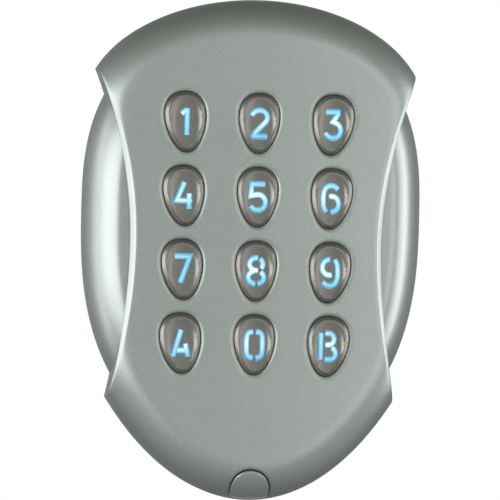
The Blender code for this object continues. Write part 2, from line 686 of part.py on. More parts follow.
def make_shell():
    """The oval side shell with the board's window, post holes, hinge bar and a rim relieved for the swing."""
    shell = shell_solid("side_shell", 0.0, SHELL_RIM_DEPTH, 48, 6, "housing_paint")
    combine(shell, shell_solid("shell_hollow", SHELL_WALL, SHELL_RIM_DEPTH - 1, 36, 4))
    window = rectangle(-window_half(), window_half(), mat_bottom(), mat_top(), WINDOW_CORNER)
    combine(shell, prism("shell_window", window, SHELL_FACE_DEPTH - SHELL_WALL - 2, FACE_DEPTH))
    radius = COVER_POST_RADIUS + GAP
    holes = [pin("hole", x, z, [(radius, SHELL_FACE_DEPTH - SHELL_WALL - 2), (radius, FACE_DEPTH)])
             for x, z in cover_post_places()]
    combine(shell, join("shell_holes", holes))
    ear_x = HOOK_X + HOOK_WIDTH / 2 + HINGE_EAR_GAP
    ear_top = SHELL_Z + SHELL_TOP_RISE * (1 - (ear_x / SHELL_HALF_WIDTH) ** 2) ** (1 / SHELL_TOP_POWER)
    ears = []
    for side in (-1, 1):
        edges = sorted((side * ear_x, side * (ear_x + HINGE_EAR_WIDTH)))
        ear = rectangle(*edges, HINGE_Z - HINGE_BAR_RADIUS - ROUNDING, ear_top - SHELL_WALL / 2)
        ears.append(prism("ear", ear, HINGE_DEPTH - HINGE_BAR_RADIUS - ROUNDING, HINGE_EAR_DEPTH))
    combine(shell, join("hinge_ears", ears), "UNION")
    combine(shell, hinge_bar(ear_x + HINGE_EAR_WIDTH / 2), "UNION")
    combine(shell, rim_relief())
    tongue = TONGUE_HALF_WIDTH + RUNNING_GAP
    notch = rectangle(-tongue, tongue, COVER_BOTTOM, COVER_BOTTOM + SHELL_BOTTOM_MARGIN + 2 * SHELL_WALL)
    combine(shell, prism("rim_notch", notch, 0.0, PLATE_THICKNESS + RUNNING_GAP))


def hinge_bar(reach):
    """The round bar that hangs in the back plate's hooks, along X."""
    sides = 10
    points = []
    for x in (-reach, reach):
        for i in range(sides):
            turn = 2 * math.pi * (i + 0.5) / sides
            points.append((x, HINGE_DEPTH + HINGE_BAR_RADIUS * math.cos(turn),
                           HINGE_Z + HINGE_BAR_RADIUS * math.sin(turn)))
    faces = [list(range(sides)), list(range(sides, 2 * sides))]
    faces += [[i, (i + 1) % sides, (i + 1) % sides + sides, i + sides] for i in range(sides)]
    return solid("hinge_bar", points, faces)


def rim_relief():
    """A wedge off the rim above the hinge, so the rim clears the wall as the housing swings."""
    rise = SHELL_TOP_RISE
    slope = math.tan(SWING_LIMIT)
    low = HINGE_Z
    high = low + rise
    points = []
    for x in (-SHELL_HALF_WIDTH, SHELL_HALF_WIDTH):
        points += [(x, SHELL_RIM_DEPTH - 1, low), (x, SHELL_RIM_DEPTH, low),
                   (x, SHELL_RIM_DEPTH + rise * slope, high), (x, SHELL_RIM_DEPTH - 1, high)]
    faces = [[0, 1, 2, 3], [4, 5, 6, 7], [0, 1, 5, 4], [1, 2, 6, 5], [2, 3, 7, 6], [3, 0, 4, 7]]
    return solid("rim_relief", points, faces)


def window_half():
    """Half the width of the shell's window, round the keypad mat."""
    return mat_half() + WINDOW_GAP


# ---- Mat and board ----

def mat_half():
    """Half the mat's width, round the outer keys' flanges."""
    return KEYPAD_HALF_WIDTH + MAT_MARGIN


def mat_top():
    """The mat's top edge, above the top row's flanges."""
    return KEY_GRID_Z + 1.5 * KEY_PITCH + KEY_HEIGHT / 2 + FLANGE_LIP + MAT_MARGIN


def mat_bottom():
    """The mat's bottom edge, below the bottom row's flanges."""
    return KEY_GRID_Z - 1.5 * KEY_PITCH - KEY_HEIGHT / 2 - FLANGE_LIP - MAT_MARGIN


def board_top():
    """The board's top edge."""
    return mat_top() + BOARD_MARGIN


def board_bottom():
    """The board's bottom edge."""
    return mat_bottom() - BOARD_MARGIN


def make_mat():
    """The silicone mat: a sheet with a hollow dome under each key and holes for the bosses."""
    mat = prism("keypad_mat", rectangle(-mat_half(), mat_half(), mat_bottom(), mat_top(), MAT_CORNER),
                MAT_BACK_DEPTH, MAT_TOP_DEPTH, "mat_silicone")
    domes = []
    hollows = []
    for _, column, row in keys():
        x, z = key_centre(column, row)
        domes.append(pin("dome", x, z, [(DOME_RADIUS, MAT_TOP_DEPTH - MAT_THICKNESS / 3),
                                        (DOME_RADIUS, MAT_TOP_DEPTH + DOME_FOOT),
                                        (DOME_TOP_RADIUS, DOME_TOP_DEPTH)], sides=8))
        hollow = [(DOME_RADIUS - DOME_WALL, MAT_BACK_DEPTH - 1),
                  (DOME_TOP_RADIUS - DOME_WALL / 2, DOME_TOP_DEPTH - DOME_WALL)]
        hollows.append(pin("hollow", x, z, hollow, sides=8))
    combine(mat, join("domes", domes), "UNION")
    hollows += [pin("hole", x, z, [(BOARD_BOSS_RADIUS + GAP, MAT_BACK_DEPTH - 1),
                                   (BOARD_BOSS_RADIUS + GAP, MAT_TOP_DEPTH + 1)], sides=10)
                for x, z in board_boss_places()]
    combine(mat, join("mat_hollows", hollows))


def make_board():
    """The circuit board with its screw holes, and one light-emitting diode under each key."""
    half = mat_half() + BOARD_MARGIN
    board = prism("circuit_board", rectangle(-half, half, board_bottom(), board_top(), MAT_CORNER),
                  BOARD_BACK_DEPTH, BOARD_FRONT_DEPTH, "board_laminate")
    radius = BOARD_SCREW_RADIUS + SCREW_GAP
    holes = [pin("hole", x, z, [(radius, BOARD_BACK_DEPTH - 1), (radius, BOARD_FRONT_DEPTH + 1)], sides=8)
             for x, z in board_boss_places()]
    combine(board, join("board_holes", holes))
    for figure, column, row in keys():
        x, z = key_centre(column, row)
        base = BOARD_FRONT_DEPTH + SOLDER_GAP
        outline = rectangle(x - LED_WIDTH / 2, x + LED_WIDTH / 2, z - LED_HEIGHT / 2, z + LED_HEIGHT / 2)
        loft("led_" + figure, [(outline, base), (outline, base + LED_THICKNESS / 2),
                               (offset(outline, -ROUNDING), base + LED_THICKNESS)], "led_body")


def make_board_parts():
    """What is soldered on the board's back: relays, terminals, buzzer, controller and tamper switch."""
    base = BOARD_BACK_DEPTH - SOLDER_GAP
    relay_end = PLATE_THICKNESS + RELAY_CLEARANCE
    relay_x = KEY_PITCH / 2 + BOARD_SCREW_HEAD + RELAY_MARGIN + RELAY_WIDTH / 2
    for name, x in (("relay_left", -relay_x), ("relay_right", relay_x)):
        outline = rectangle(x - RELAY_WIDTH / 2, x + RELAY_WIDTH / 2, RELAY_Z - RELAY_HEIGHT / 2,
                            RELAY_Z + RELAY_HEIGHT / 2)
        sections = [(offset(outline, -ROUNDING), relay_end), (outline, relay_end + ROUNDING), (outline, base)]
        loft(name, sections, "relay_plastic")
    top = board_bottom() + TERMINAL_MARGIN + TERMINAL_HEIGHT
    outline = rectangle(-TERMINAL_WIDTH / 2, TERMINAL_WIDTH / 2, top - TERMINAL_HEIGHT, top)
    block = prism("terminal_block", outline, base - TERMINAL_TALL, base, "terminal_plastic")
    pitch = TERMINAL_WIDTH / TERMINAL_WAYS
    ways = []
    for i in range(TERMINAL_WAYS):
        x = -TERMINAL_WIDTH / 2 + pitch * (i + 0.5)
        mouth = rectangle(x - TERMINAL_MOUTH / 2, x + TERMINAL_MOUTH / 2, top - TERMINAL_MOUTH_DEEP, top + 1)
        ways.append(prism("way", mouth, base - TERMINAL_TALL / 2, base - TERMINAL_TALL / 2 + TERMINAL_MOUTH))
        ways.append(pin("drive", x, top - TERMINAL_HEIGHT / 2 - TERMINAL_SCREW_RADIUS,
                        [(TERMINAL_SCREW_RADIUS, base - TERMINAL_TALL - 1),
                         (TERMINAL_SCREW_RADIUS, base - TERMINAL_TALL + TERMINAL_SCREW_SINK)], sides=8))
    combine(block, join("terminal_ways", ways))
    pin("buzzer", BUZZER_X, BUZZER_Z, [
        (BUZZER_RADIUS - ROUNDING, base - BUZZER_TALL), (BUZZER_RADIUS, base - BUZZER_TALL + ROUNDING),
        (BUZZER_RADIUS, base)], "black_plastic", sides=20)
    chip = rectangle(CHIP_X - CHIP_SIDE / 2, CHIP_X + CHIP_SIDE / 2, -CHIP_SIDE / 2, CHIP_SIDE / 2)
    prism("microcontroller", chip, base - CHIP_TALL, base, "black_plastic")


def make_tamper_switch():
    """A switch whose plunger rests on the back plate and springs out when the housing lifts off."""
    base = BOARD_BACK_DEPTH - SOLDER_GAP
    x, z = SWITCH_X, SWITCH_Z
    half = SWITCH_SIDE / 2
    outline = rectangle(x - half, x + half, z - half, z + half)
    switch = prism("tamper_switch", outline, base - SWITCH_TALL, base, "black_plastic")
    bore = PLUNGER_RADIUS + RUNNING_GAP
    bottom = base - SWITCH_ROOF
    combine(switch, pin("plunger_bore", x, z, [(bore, base - SWITCH_TALL - 1), (bore, bottom)]))
    rest = PLATE_THICKNESS + GAP
    pin("tamper_plunger", x, z, [(PLUNGER_RADIUS - ROUNDING, rest), (PLUNGER_RADIUS, rest + ROUNDING),
                                 (PLUNGER_RADIUS, bottom - GAP)], "plunger_plastic",
        origin=(x, rest, z))


def screw(name, x, z, head, head_tall, radius, seat, tip):
    """A screw driven from behind: its head below the seat and its shank up to the tip."""
    steps = [(head - ROUNDING, seat - head_tall), (head, seat - head_tall + ROUNDING), (head, seat)]
    return pin(name, x, z, steps + [(radius, seat), (radius, tip)], "screw_steel")


def make_screws():
    """Cover screws through the shell, board screws, and the lock screw behind the screw cap."""
    seat = SHELL_FACE_DEPTH - SHELL_WALL - GAP - GAP
    for i, (x, z) in enumerate(cover_post_places(), 1):
        screw(f"cover_screw_{i}", x, z, COVER_SCREW_HEAD, COVER_SCREW_HEAD_TALL, COVER_SCREW_RADIUS, seat,
              seat + COVER_SCREW_GRIP)
    seat = BOARD_BACK_DEPTH - SOLDER_GAP
    for i, (x, z) in enumerate(board_boss_places(), 1):
        reach = BOARD_FRONT_DEPTH + GAP + BOARD_SCREW_GRIP
        screw(f"board_screw_{i}", x, z, BOARD_SCREW_HEAD, BOARD_SCREW_HEAD_TALL, BOARD_SCREW_RADIUS, seat,
              reach)
    seat = LOCK_SEAT_DEPTH
    top = seat + LOCK_SCREW_HEAD_TALL
    lock = pin("security_screw", 0.0, LOCK_SCREW_Z, [
        (LOCK_SCREW_RADIUS, PLATE_THICKNESS + LOCK_SCREW_RADIUS), (LOCK_SCREW_RADIUS, seat),
        (LOCK_SCREW_HEAD, seat), (LOCK_SCREW_HEAD, top - ROUNDING), (LOCK_SCREW_HEAD - ROUNDING, top)],
        "screw_steel", 16, (0.0, seat, LOCK_SCREW_Z))
    combine(lock, pin("socket", 0.0, LOCK_SCREW_Z, [(LOCK_SCREW_SOCKET, top - LOCK_SOCKET_DEEP),
                                                   (LOCK_SCREW_SOCKET, top + 1)], sides=6))


# ---- Wall side ----

def make_back_plate():
    """The wall plate with hooks for the hinge bar, a tongue and post for the lock screw, and its holes."""
    plate = prism("back_plate", shell_outline(PLATE_INSET, 40), 0.0, PLATE_THICKNESS, "plate_zinc")
    low = HINGE_Z - HINGE_BAR_RADIUS - GAP - HOOK_THICKNESS
    lip = HINGE_DEPTH + HINGE_BAR_RADIUS + RUNNING_GAP
    for side, name in ((-1, "hook_left"), (1, "hook_right")):
        x0 = side * HOOK_X - HOOK_WIDTH / 2
        x1 = side * HOOK_X + HOOK_WIDTH / 2
        root = PLATE_THICKNESS / 2
        top = HINGE_Z + HINGE_BAR_RADIUS / 2
        out = lip + HOOK_THICKNESS
        profile = [(root, low), (out, low), (out, top), (lip, top), (lip, low + HOOK_THICKNESS),
                   (root, low + HOOK_THICKNESS)]
        points = [(x, d, z) for x in (x0, x1) for d, z in profile]
        count = len(profile)
        faces = [list(range(count)), list(range(count, 2 * count))]
        faces += [[i, (i + 1) % count, (i + 1) % count + count, i + count] for i in range(count)]
        combine(plate, solid(name, points, faces), "UNION")
    tongue = rectangle(-TONGUE_HALF_WIDTH, TONGUE_HALF_WIDTH, LOCK_SCREW_Z - LOCK_POST_RADIUS - TONGUE_THIN,
                       SHELL_Z - SHELL_BOTTOM_RISE + 2 * PLATE_INSET)
    combine(plate, prism("tongue", tongue, TONGUE_THIN, PLATE_THICKNESS - TONGUE_THIN), "UNION")
    combine(plate, pin("lock_post", 0.0, LOCK_SCREW_Z, [(LOCK_POST_RADIUS, PLATE_THICKNESS / 2),
                                                        (LOCK_POST_RADIUS, LOCK_POST_DEPTH)]), "UNION")
    thread = LOCK_SCREW_RADIUS + RUNNING_GAP
    holes = [pin("hole", 0.0, LOCK_SCREW_Z, [(thread, PLATE_THICKNESS), (thread, LOCK_POST_DEPTH + 1)])]
    holes += [pin("hole", x, z, [(WALL_SCREW_RADIUS, -1.0), (WALL_SCREW_RADIUS, PLATE_THICKNESS + 1)])
              for x in (-WALL_SCREW_X, WALL_SCREW_X) for z in (-WALL_SCREW_Z, WALL_SCREW_Z)]
    hole = CABLE_BORE_RADIUS + GROMMET_WALL + GAP
    holes.append(pin("hole", 0.0, CABLE_HOLE_Z, [(hole, -1.0), (hole, PLATE_THICKNESS + 1)], sides=20))
    combine(plate, join("plate_holes", holes))


def make_seals():
    """The gasket between the shell's rim and the wall, and the grommet in the cable hole."""
    gasket = prism("housing_gasket", shell_outline(GAP), 0.0, GASKET_THICKNESS, "seal_rubber")
    combine(gasket, prism("gasket_middle", shell_outline(GAP + GASKET_WIDTH, 48), -1.0, GASKET_THICKNESS + 1))
    tongue = TONGUE_HALF_WIDTH + GAP
    gap = rectangle(-tongue, tongue, COVER_BOTTOM, COVER_BOTTOM + SHELL_BOTTOM_MARGIN + 2 * GASKET_WIDTH)
    combine(gasket, prism("gasket_break", gap, -1.0, GASKET_THICKNESS + 1))
    outer = CABLE_BORE_RADIUS + GROMMET_WALL
    ring("cable_grommet", 0.0, CABLE_HOLE_Z, [
        (CABLE_BORE_RADIUS, GROMMET_REST), (outer, GROMMET_REST), (outer, PLATE_THICKNESS + GAP),
        (outer + GROMMET_LIP, PLATE_THICKNESS + GAP),
        (outer + GROMMET_LIP - ROUNDING, PLATE_THICKNESS + GAP + GROMMET_TALL),
        (CABLE_BORE_RADIUS, PLATE_THICKNESS + GAP + GROMMET_TALL)], "seal_rubber")


def main():
    """Clears the scene and models the keypad."""
    for old in list(bpy.data.objects):
        bpy.data.objects.remove(old)
    make_cover()
    make_screw_cap()
    make_shell()
    for figure, column, row in keys():
        make_key(figure, column, row)
    make_mat()
    make_board()
    make_board_parts()
    make_tamper_switch()
    make_screws()
    make_back_plate()
    make_seals()


if __name__ == "__main__":
    main()
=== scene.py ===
"""The looks of a backlit wall keypad: cast cover, oval shell, lit keys, board and wall plate.

Shapes are worked out in millimetres. X runs to the right and Z up. Depth is the distance out from the
wall, so a point at depth d has y = -d. Meshes are stored in metres.
"""

import math

import bmesh
import bpy
from bpy.props import FloatProperty, FloatVectorProperty, IntProperty, PointerProperty
from mathutils import Matrix, Vector


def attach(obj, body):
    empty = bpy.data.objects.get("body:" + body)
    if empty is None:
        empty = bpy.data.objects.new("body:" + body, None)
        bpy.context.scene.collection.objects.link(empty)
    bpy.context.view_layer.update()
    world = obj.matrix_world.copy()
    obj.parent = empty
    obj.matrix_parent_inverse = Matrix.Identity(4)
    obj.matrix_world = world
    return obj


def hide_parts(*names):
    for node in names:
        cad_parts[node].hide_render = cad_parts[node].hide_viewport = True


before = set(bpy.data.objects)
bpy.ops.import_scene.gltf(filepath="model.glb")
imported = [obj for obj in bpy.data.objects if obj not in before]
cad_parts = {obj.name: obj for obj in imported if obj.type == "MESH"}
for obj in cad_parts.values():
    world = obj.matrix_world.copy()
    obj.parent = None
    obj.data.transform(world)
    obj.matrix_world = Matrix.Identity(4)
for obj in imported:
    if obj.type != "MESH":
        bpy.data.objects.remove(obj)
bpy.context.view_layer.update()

bl_info = {
    "name": "Backlit wall keypad",
    "version": (1, 0, 0),
    "blender": (4, 5, 0),
    "location": "3D View > Sidebar > Keypad",
    "description": "Builds a waisted cast keypad with lit keys round its packed frame",
    "category": "Object",
}

METRES = 0.001
BROKEN_EDGE = 0.2 * METRES

# Cover and shell, as the frame has them
HEIGHT = 150.0
WIDTH = 102.0
FACE_DEPTH = 30.0
GAP = 0.3
RUNNING_GAP = 0.35
COVER_WALL = 2.5
COVER_RIM_DEPTH = 4.0
TOP_ARC_HALF_WIDTH = WIDTH / 2 + 0.35
TOP_ARC_RISE = 33.6
BOTTOM_ARC_HALF_WIDTH = WIDTH / 2 + 18.4
BOTTOM_ARC_RISE = 139.6
WAIST_HALF_WIDTH = 37.7
WAIST_Z = 1.5
UPPER_WAIST_RADIUS = 137.0
LOWER_WAIST_RADIUS = 206.0
ROLL_WIDTH = 12.0
ROLL_HEIGHT = 16.0
ROLL_POWER = 2.2
ROLL_BLEND = 8.0
CROWN = 1.0
EDGE_BEVEL_WIDTH = 1.7
EDGE_BEVEL_DROP = 1.9
EDGE_PROFILE = ((0.0, 0.0), (0.14, 0.04), (0.34, 0.24), (0.72, 0.72), (0.92, 0.95), (1.0, 1.08))
COVER_TOP = HEIGHT / 2
COVER_BOTTOM = -HEIGHT / 2
COVER_INNER_DEPTH = FACE_DEPTH - COVER_WALL
TOP_ARC_Z = COVER_TOP - TOP_ARC_RISE
BOTTOM_ARC_Z = COVER_BOTTOM + BOTTOM_ARC_RISE
SHELL_WALL = 2.5
SHELL_Z = 11.0
SHELL_TOP_MARGIN = 4.0
SHELL_BOTTOM_MARGIN = 12.0
SHELL_TOP_POWER = 2.75
SHELL_BOTTOM_POWER = 2.59
SHELL_RIM_DEPTH = 1.0
SHELL_SIDE_DEPTH = 3.0
SHELL_ROLL_WIDTH = 11.0
SHELL_HALF_WIDTH = WIDTH / 2
SHELL_FACE_DEPTH = FACE_DEPTH - 4.0
SHELL_TOP_RISE = COVER_TOP - SHELL_TOP_MARGIN - SHELL_Z
SHELL_BOTTOM_RISE = SHELL_Z - COVER_BOTTOM - SHELL_BOTTOM_MARGIN
WINDOW_GAP = 2.5
EAR_GAP = 2.5
EAR_WIDTH = 2.4
EAR_DEPTH = 14.0

# Keys
KEY_ROWS = ("123", "456", "789", "A0B")
KEY_PITCH = 22.0
KEY_GRID_Z = 4.8
KEY_WIDTH = 11.8
KEY_HEIGHT = 17.8
KEY_EGG = 0.22
KEY_FULLNESS = 0.9
KEY_LEAN = math.radians(5.0)
KEY_TOP_DEPTH = FACE_DEPTH + 0.9
KEY_WALL = 1.5
FLANGE_LIP = 0.8
FLANGE_THICKNESS = 1.5
KEYPAD_HALF_WIDTH = KEY_PITCH + KEY_WIDTH / 2 + FLANGE_LIP
FLANGE_TOP_DEPTH = COVER_INNER_DEPTH - CROWN * (KEYPAD_HALF_WIDTH / WAIST_HALF_WIDTH) ** 2 - GAP
FLANGE_BOTTOM_DEPTH = FLANGE_TOP_DEPTH - FLANGE_THICKNESS
FIGURE_WIDTH = 6.2
FIGURE_HEIGHT = 9.3
FIGURE_STROKE = 1.5
FIGURE_GAP = 0.12

# Shape of a key's face and well, finer than the frame's: a sloping rim round a dish over a thin roof
KEY_RIM = 1.05
KEY_DISH = 0.62
KEY_DISH_STEP = 0.1
KEY_ROOF = 1.33
ROOF_DEPTH = KEY_TOP_DEPTH - KEY_DISH - KEY_ROOF
DISH_EDGE = 0.16
DISH_RINGS = 12
KEY_RIM_PROFILE = ((0.0, 1.0), (0.02, 0.9), (0.1, 0.78), (0.5, 0.42), (0.8, 0.16), (0.92, 0.06), (1.0, 0.03))
WELL_GAP = 0.12
WELL_SINK = 1.15
WELL_PROFILE = ((0.0, 0.42), (0.03, 0.33), (0.1, 0.26), (0.6, 0.07), (0.8, 0.02), (0.92, -0.02), (0.95, -1.0))

# Light in the figures: brightness and drop across a stroke, and how the light falls off round the lamp
STROKE_GLOW = (0.3, 0.78, 1.0, 0.78, 0.3)
STROKE_DROP = (0.16, 0.09, 0.07, 0.09, 0.16)
LAMP_X = -0.5
LAMP_Z = 0.4
LAMP_SPREAD = 14.0
GLOW_FAR = 0.32
GLOW_NEAR = 0.78
GLOW_SIDE = 0.1
GLOW_GUIDE = 0.5

# Mat and board
KEY_TRAVEL = 1.2
DOME_RADIUS = 4.2
DOME_RISE = 0.95
DOME_WALL = 0.7
MAT_MARGIN = 1.0
MAT_CORNER = 4.0
MAT_THICKNESS = 1.0
MAT_HALF_WIDTH = KEYPAD_HALF_WIDTH + MAT_MARGIN
MAT_TOP_DEPTH = FLANGE_BOTTOM_DEPTH - KEY_TRAVEL - GAP / 2 - DOME_RISE
MAT_BACK_DEPTH = MAT_TOP_DEPTH - MAT_THICKNESS
BOARD_MARGIN = 1.2
BOARD_THICKNESS = 1.6
BOARD_FRONT_DEPTH = MAT_BACK_DEPTH - GAP
BOARD_BACK_DEPTH = BOARD_FRONT_DEPTH - BOARD_THICKNESS
BOARD_BOSS_RADIUS = 2.1
SOLDER_GAP = 0.15
PARTS_DEPTH = BOARD_BACK_DEPTH - SOLDER_GAP
RELAY_X = 20.5
RELAY_Z = 29.8
RELAY_WIDTH = 12.5
RELAY_HEIGHT = 15.5
RELAY_CLEARANCE = 3.0
RELAY_PINS = ((-4.0, 6.0), (4.0, 6.0), (-4.0, -6.0), (4.0, -6.0), (0.0, -6.0))
RESISTOR_COLUMNS = (-6.0, -2.0, 2.0, 6.0)
RESISTOR_ROWS = (-12.0, -8.0, -2.0, 2.0, 8.0, 14.0)
TERMINAL_WAYS = 6
TERMINAL_PITCH = 5.0
TERMINAL_HEIGHT = 8.0
TERMINAL_TALL = 9.0
TERMINAL_MARGIN = 2.0
TERMINAL_MOUTH = 3.0
TERMINAL_SCREW_RADIUS = 1.4
TERMINAL_SCREW_DROP = 5.4
BUZZER_X = 18.0
BUZZER_Z = -10.0
BUZZER_RADIUS = 6.0
BUZZER_TALL = 6.5
CHIP_X = -18.0
CHIP_SIDE = 10.0
CHIP_TALL = 1.2
LEAD_PITCH = 0.8
LEADS_A_SIDE = 10
LEAD_PROFILE = ((5.0, -0.5), (5.5, -0.5), (5.75, -0.14), (6.3, -0.14), (6.3, 0.0), (5.65, 0.0),
                (5.4, -0.36), (5.0, -0.36))
SWITCH_X = -22.0
SWITCH_Z = -22.0
SWITCH_SIDE = 6.0
SWITCH_TALL = 6.0
SWITCH_ROOF = 1.0
PLUNGER_RADIUS = 1.4

# Screws and the cap
COVER_POST_RADIUS = 3.0
COVER_POST_TOP_X = 16.0
COVER_POST_BOTTOM_X = 15.0
COVER_SCREW_HEAD = 3.9
COVER_SCREW_HEAD_TALL = 1.8
COVER_SCREW_RADIUS = 1.4
COVER_SCREW_PILOT = 1.2
COVER_SCREW_GRIP = 3.4
BOARD_SCREW_HEAD = 2.0
BOARD_SCREW_HEAD_TALL = 1.4
BOARD_SCREW_RADIUS = 0.9
BOARD_SCREW_PILOT = 0.7
BOARD_SCREW_GRIP = 2.6
THREAD_PITCH = 0.5
LOCK_SCREW_Z = COVER_BOTTOM + 6.2
LOCK_SCREW_RADIUS = 1.25
LOCK_SCREW_HEAD = 2.8
LOCK_SCREW_HEAD_TALL = 2.5
LOCK_SCREW_SOCKET = 1.3
CAP_RADIUS = 5.85
CAP_Z = COVER_BOTTOM + 3.4
CAP_STEM = 1.0
CAP_RINGS = 9
BUCKET_WALL = 1.5
CAP_SEAT_DEPTH = FACE_DEPTH - 10.0
LOCK_SEAT_DEPTH = CAP_SEAT_DEPTH - CAP_STEM - GAP - LOCK_SCREW_HEAD_TALL
LOCK_FLOOR_DEPTH = LOCK_SEAT_DEPTH - GAP
LOCK_POCKET_DEPTH = LOCK_FLOOR_DEPTH - 3.0

# Wall side
PLATE_THICKNESS = 2.0
PLATE_INSET = SHELL_WALL + 1.1
LOCK_POST_RADIUS = 2.8
LOCK_POST_DEPTH = LOCK_POCKET_DEPTH - 0.8
WALL_SCREW_X = 30.0
WALL_SCREW_Z = 33.0
WALL_SCREW_RADIUS = 2.2
WALL_SCREW_SINK = 0.7
CABLE_HOLE_Z = -22.0
CABLE_BORE_RADIUS = 5.0
GROMMET_WALL = 1.7
GROMMET_LIP = 2.3
GROMMET_TALL = 1.5
GASKET_THICKNESS = 0.7
GASKET_WIDTH = 3.0
GASKET_OPENING = 18.0
HOOK_X = 12.0
HOOK_WIDTH = 6.0
HOOK_THICKNESS = 2.0
HOOK_BEND = 1.2
HINGE_DEPTH = 5.6
HINGE_BAR_RADIUS = 1.5
HINGE_Z = COVER_TOP - 14.0
TONGUE_HALF_WIDTH = 4.5
TONGUE_THIN = 0.2

# Camera, in metres and degrees: turned a little to the object's left, and rolled. The floor is in metres too
CAMERA_DISTANCE = 2.2
FRAMED_WIDTH = 0.149
CAMERA_AIM = (-0.00195, -0.030, 0.0)
CAMERA_SIDE = -4.5
CAMERA_ROLL = 1.35

FLOOR_Z = -0.9

# Studio lights a metre away: name, degrees round from the front, width and height in metres, radiance
LIGHTS = (
    ("left_softbox", -66.0, 1.6, 0.62, 2.4), ("left_rim_light", -119.0, 0.34, 0.8, 1.7),
    ("right_fill", 28.0, 0.6, 0.7, 0.88), ("right_strip", 72.0, 0.26, 0.7, 1.5),
    ("right_rim_light", 95.0, 0.42, 0.8, 2.7))
# The room's walls from straight below to straight above
ROOM = ((0.0, (0.28, 0.285, 0.28, 1)), (0.15, (0.46, 0.47, 0.46, 1)), (0.32, (0.53, 0.54, 0.53, 1)),
        (0.45, (0.55, 0.56, 0.55, 1)), (0.54, (0.61, 0.63, 0.62, 1)), (0.68, (0.61, 0.63, 0.62, 1)),
        (0.86, (0.385, 0.385, 0.36, 1)), (1.0, (0.235, 0.235, 0.21, 1)))


# ---- Sizes and colours that a user may change ----

class KeypadFinishes(bpy.types.PropertyGroup):
    """Colours and light of the keypad."""

    paint: FloatVectorProperty(
        name="Paint", description="Colour of the metallic paint on cover and shell", subtype="COLOR",
        size=3, min=0.0, max=1.0, default=(0.400, 0.435, 0.415))
    key_metal: FloatVectorProperty(
        name="Key metal", description="Colour of the cast keys", subtype="COLOR",
        size=3, min=0.0, max=1.0, default=(0.237, 0.230, 0.211))
    glow: FloatVectorProperty(
        name="Figure light", description="Colour of the light at a figure's edge", subtype="COLOR",
        size=3, min=0.0, max=1.0, default=(0.045, 0.33, 0.62))
    brightness: FloatProperty(
        name="Brightness", description="Strength of the light in the figures", default=1.02, min=0.0,
        soft_max=5.0)


class KeypadShape(bpy.types.PropertyGroup):
    """How finely the keypad's visible skins are drawn."""

    cover_columns: IntProperty(
        name="Cover columns", description="Strips across the cover's face", default=96, min=16)
    cover_rows: IntProperty(
        name="Cover rows", description="Strips from the cover's foot to its crown", default=132, min=16)
    shell_sides: IntProperty(
        name="Shell sides", description="Facets round the side shell", default=168, min=48)
    key_sides: IntProperty(
        name="Key sides", description="Facets round a key", default=80, min=24)
    edge_round: FloatProperty(
        name="Edge rounding", description="Radius of a sheet part's broken edges", default=0.00025, min=0.0,
        subtype="DISTANCE", unit="LENGTH")


# ---- Outlines: lists of (x, z) points, anticlockwise seen from the front ----

def circle(x, z, radius, sides):
    """A circle's points."""
    turns = [2 * math.pi * (i + 0.5) / sides for i in range(sides)]
    return [(x + radius * math.cos(t), z + radius * math.sin(t)) for t in turns]


def rectangle(x0, x1, z0, z1, corner=0.0):
    """A rectangle, its corners rounded if corner is set."""
    if corner == 0.0:
        return [(x0, z0), (x1, z0), (x1, z1), (x0, z1)]
    outline = []
    for cx, cz, start in ((x1 - corner, z1 - corner, 0), (x0 + corner, z1 - corner, 90),
                          (x0 + corner, z0 + corner, 180), (x1 - corner, z0 + corner, 270)):
        for step in range(6):
            turn = math.radians(start + 18 * step)
            outline.append((cx + corner * math.cos(turn), cz + corner * math.sin(turn)))
    return outline


def box(x, z, width, height, corner=0.0):
    """A rectangle given by its centre."""
    return rectangle(x - width / 2, x + width / 2, z - height / 2, z + height / 2, corner)


def offset(points, distance):
    """The outline moved out by distance, or in where it is negative."""
    moved = []
    for i, point in enumerate(points):
        before = Vector(point) - Vector(points[i - 1])
        after = Vector(points[(i + 1) % len(points)]) - Vector(point)
        out_before = Vector((before.y, -before.x)).normalized()
        out_after = Vector((after.y, -after.x)).normalized()
        middle = (out_before + out_after).normalized()
        moved.append(tuple(Vector(point) + middle * (distance / max(middle.dot(out_after), 0.3))))
    return moved


def shrunk(points, centre, share):
    """The outline scaled about a centre."""
    return [(centre[0] + (x - centre[0]) * share, centre[1] + (z - centre[1]) * share) for x, z in points]


def keys():
    """Each key's figure with its column (-1, 0, 1) and row."""
    return [(figure, column - 1, row) for row, figures in enumerate(KEY_ROWS)
            for column, figure in enumerate(figures)]


def key_centre(column, row):
    """Where a key stands on the face."""
    return column * KEY_PITCH, KEY_GRID_Z + (1.5 - row) * KEY_PITCH


def egg(column, row, grow=0.0):
    """A key's outline in its place: wide at the top, the side columns leaning towards the centre."""
    sides = bpy.context.scene.keypad_shape.key_sides
    x, z = key_centre(column, row)
    lean = KEY_LEAN * column
    outline = []
    for i in range(sides):
        turn = 2 * math.pi * i / sides
        wide = math.copysign(abs(math.cos(turn)) ** KEY_FULLNESS, math.cos(turn))
        across = KEY_WIDTH / 2 * wide * (1 + KEY_EGG * math.sin(turn))
        up = KEY_HEIGHT / 2 * math.sin(turn)
        outline.append((x + across * math.cos(lean) + up * math.sin(lean),
                        z - across * math.sin(lean) + up * math.cos(lean)))
    return offset(outline, grow) if grow else outline


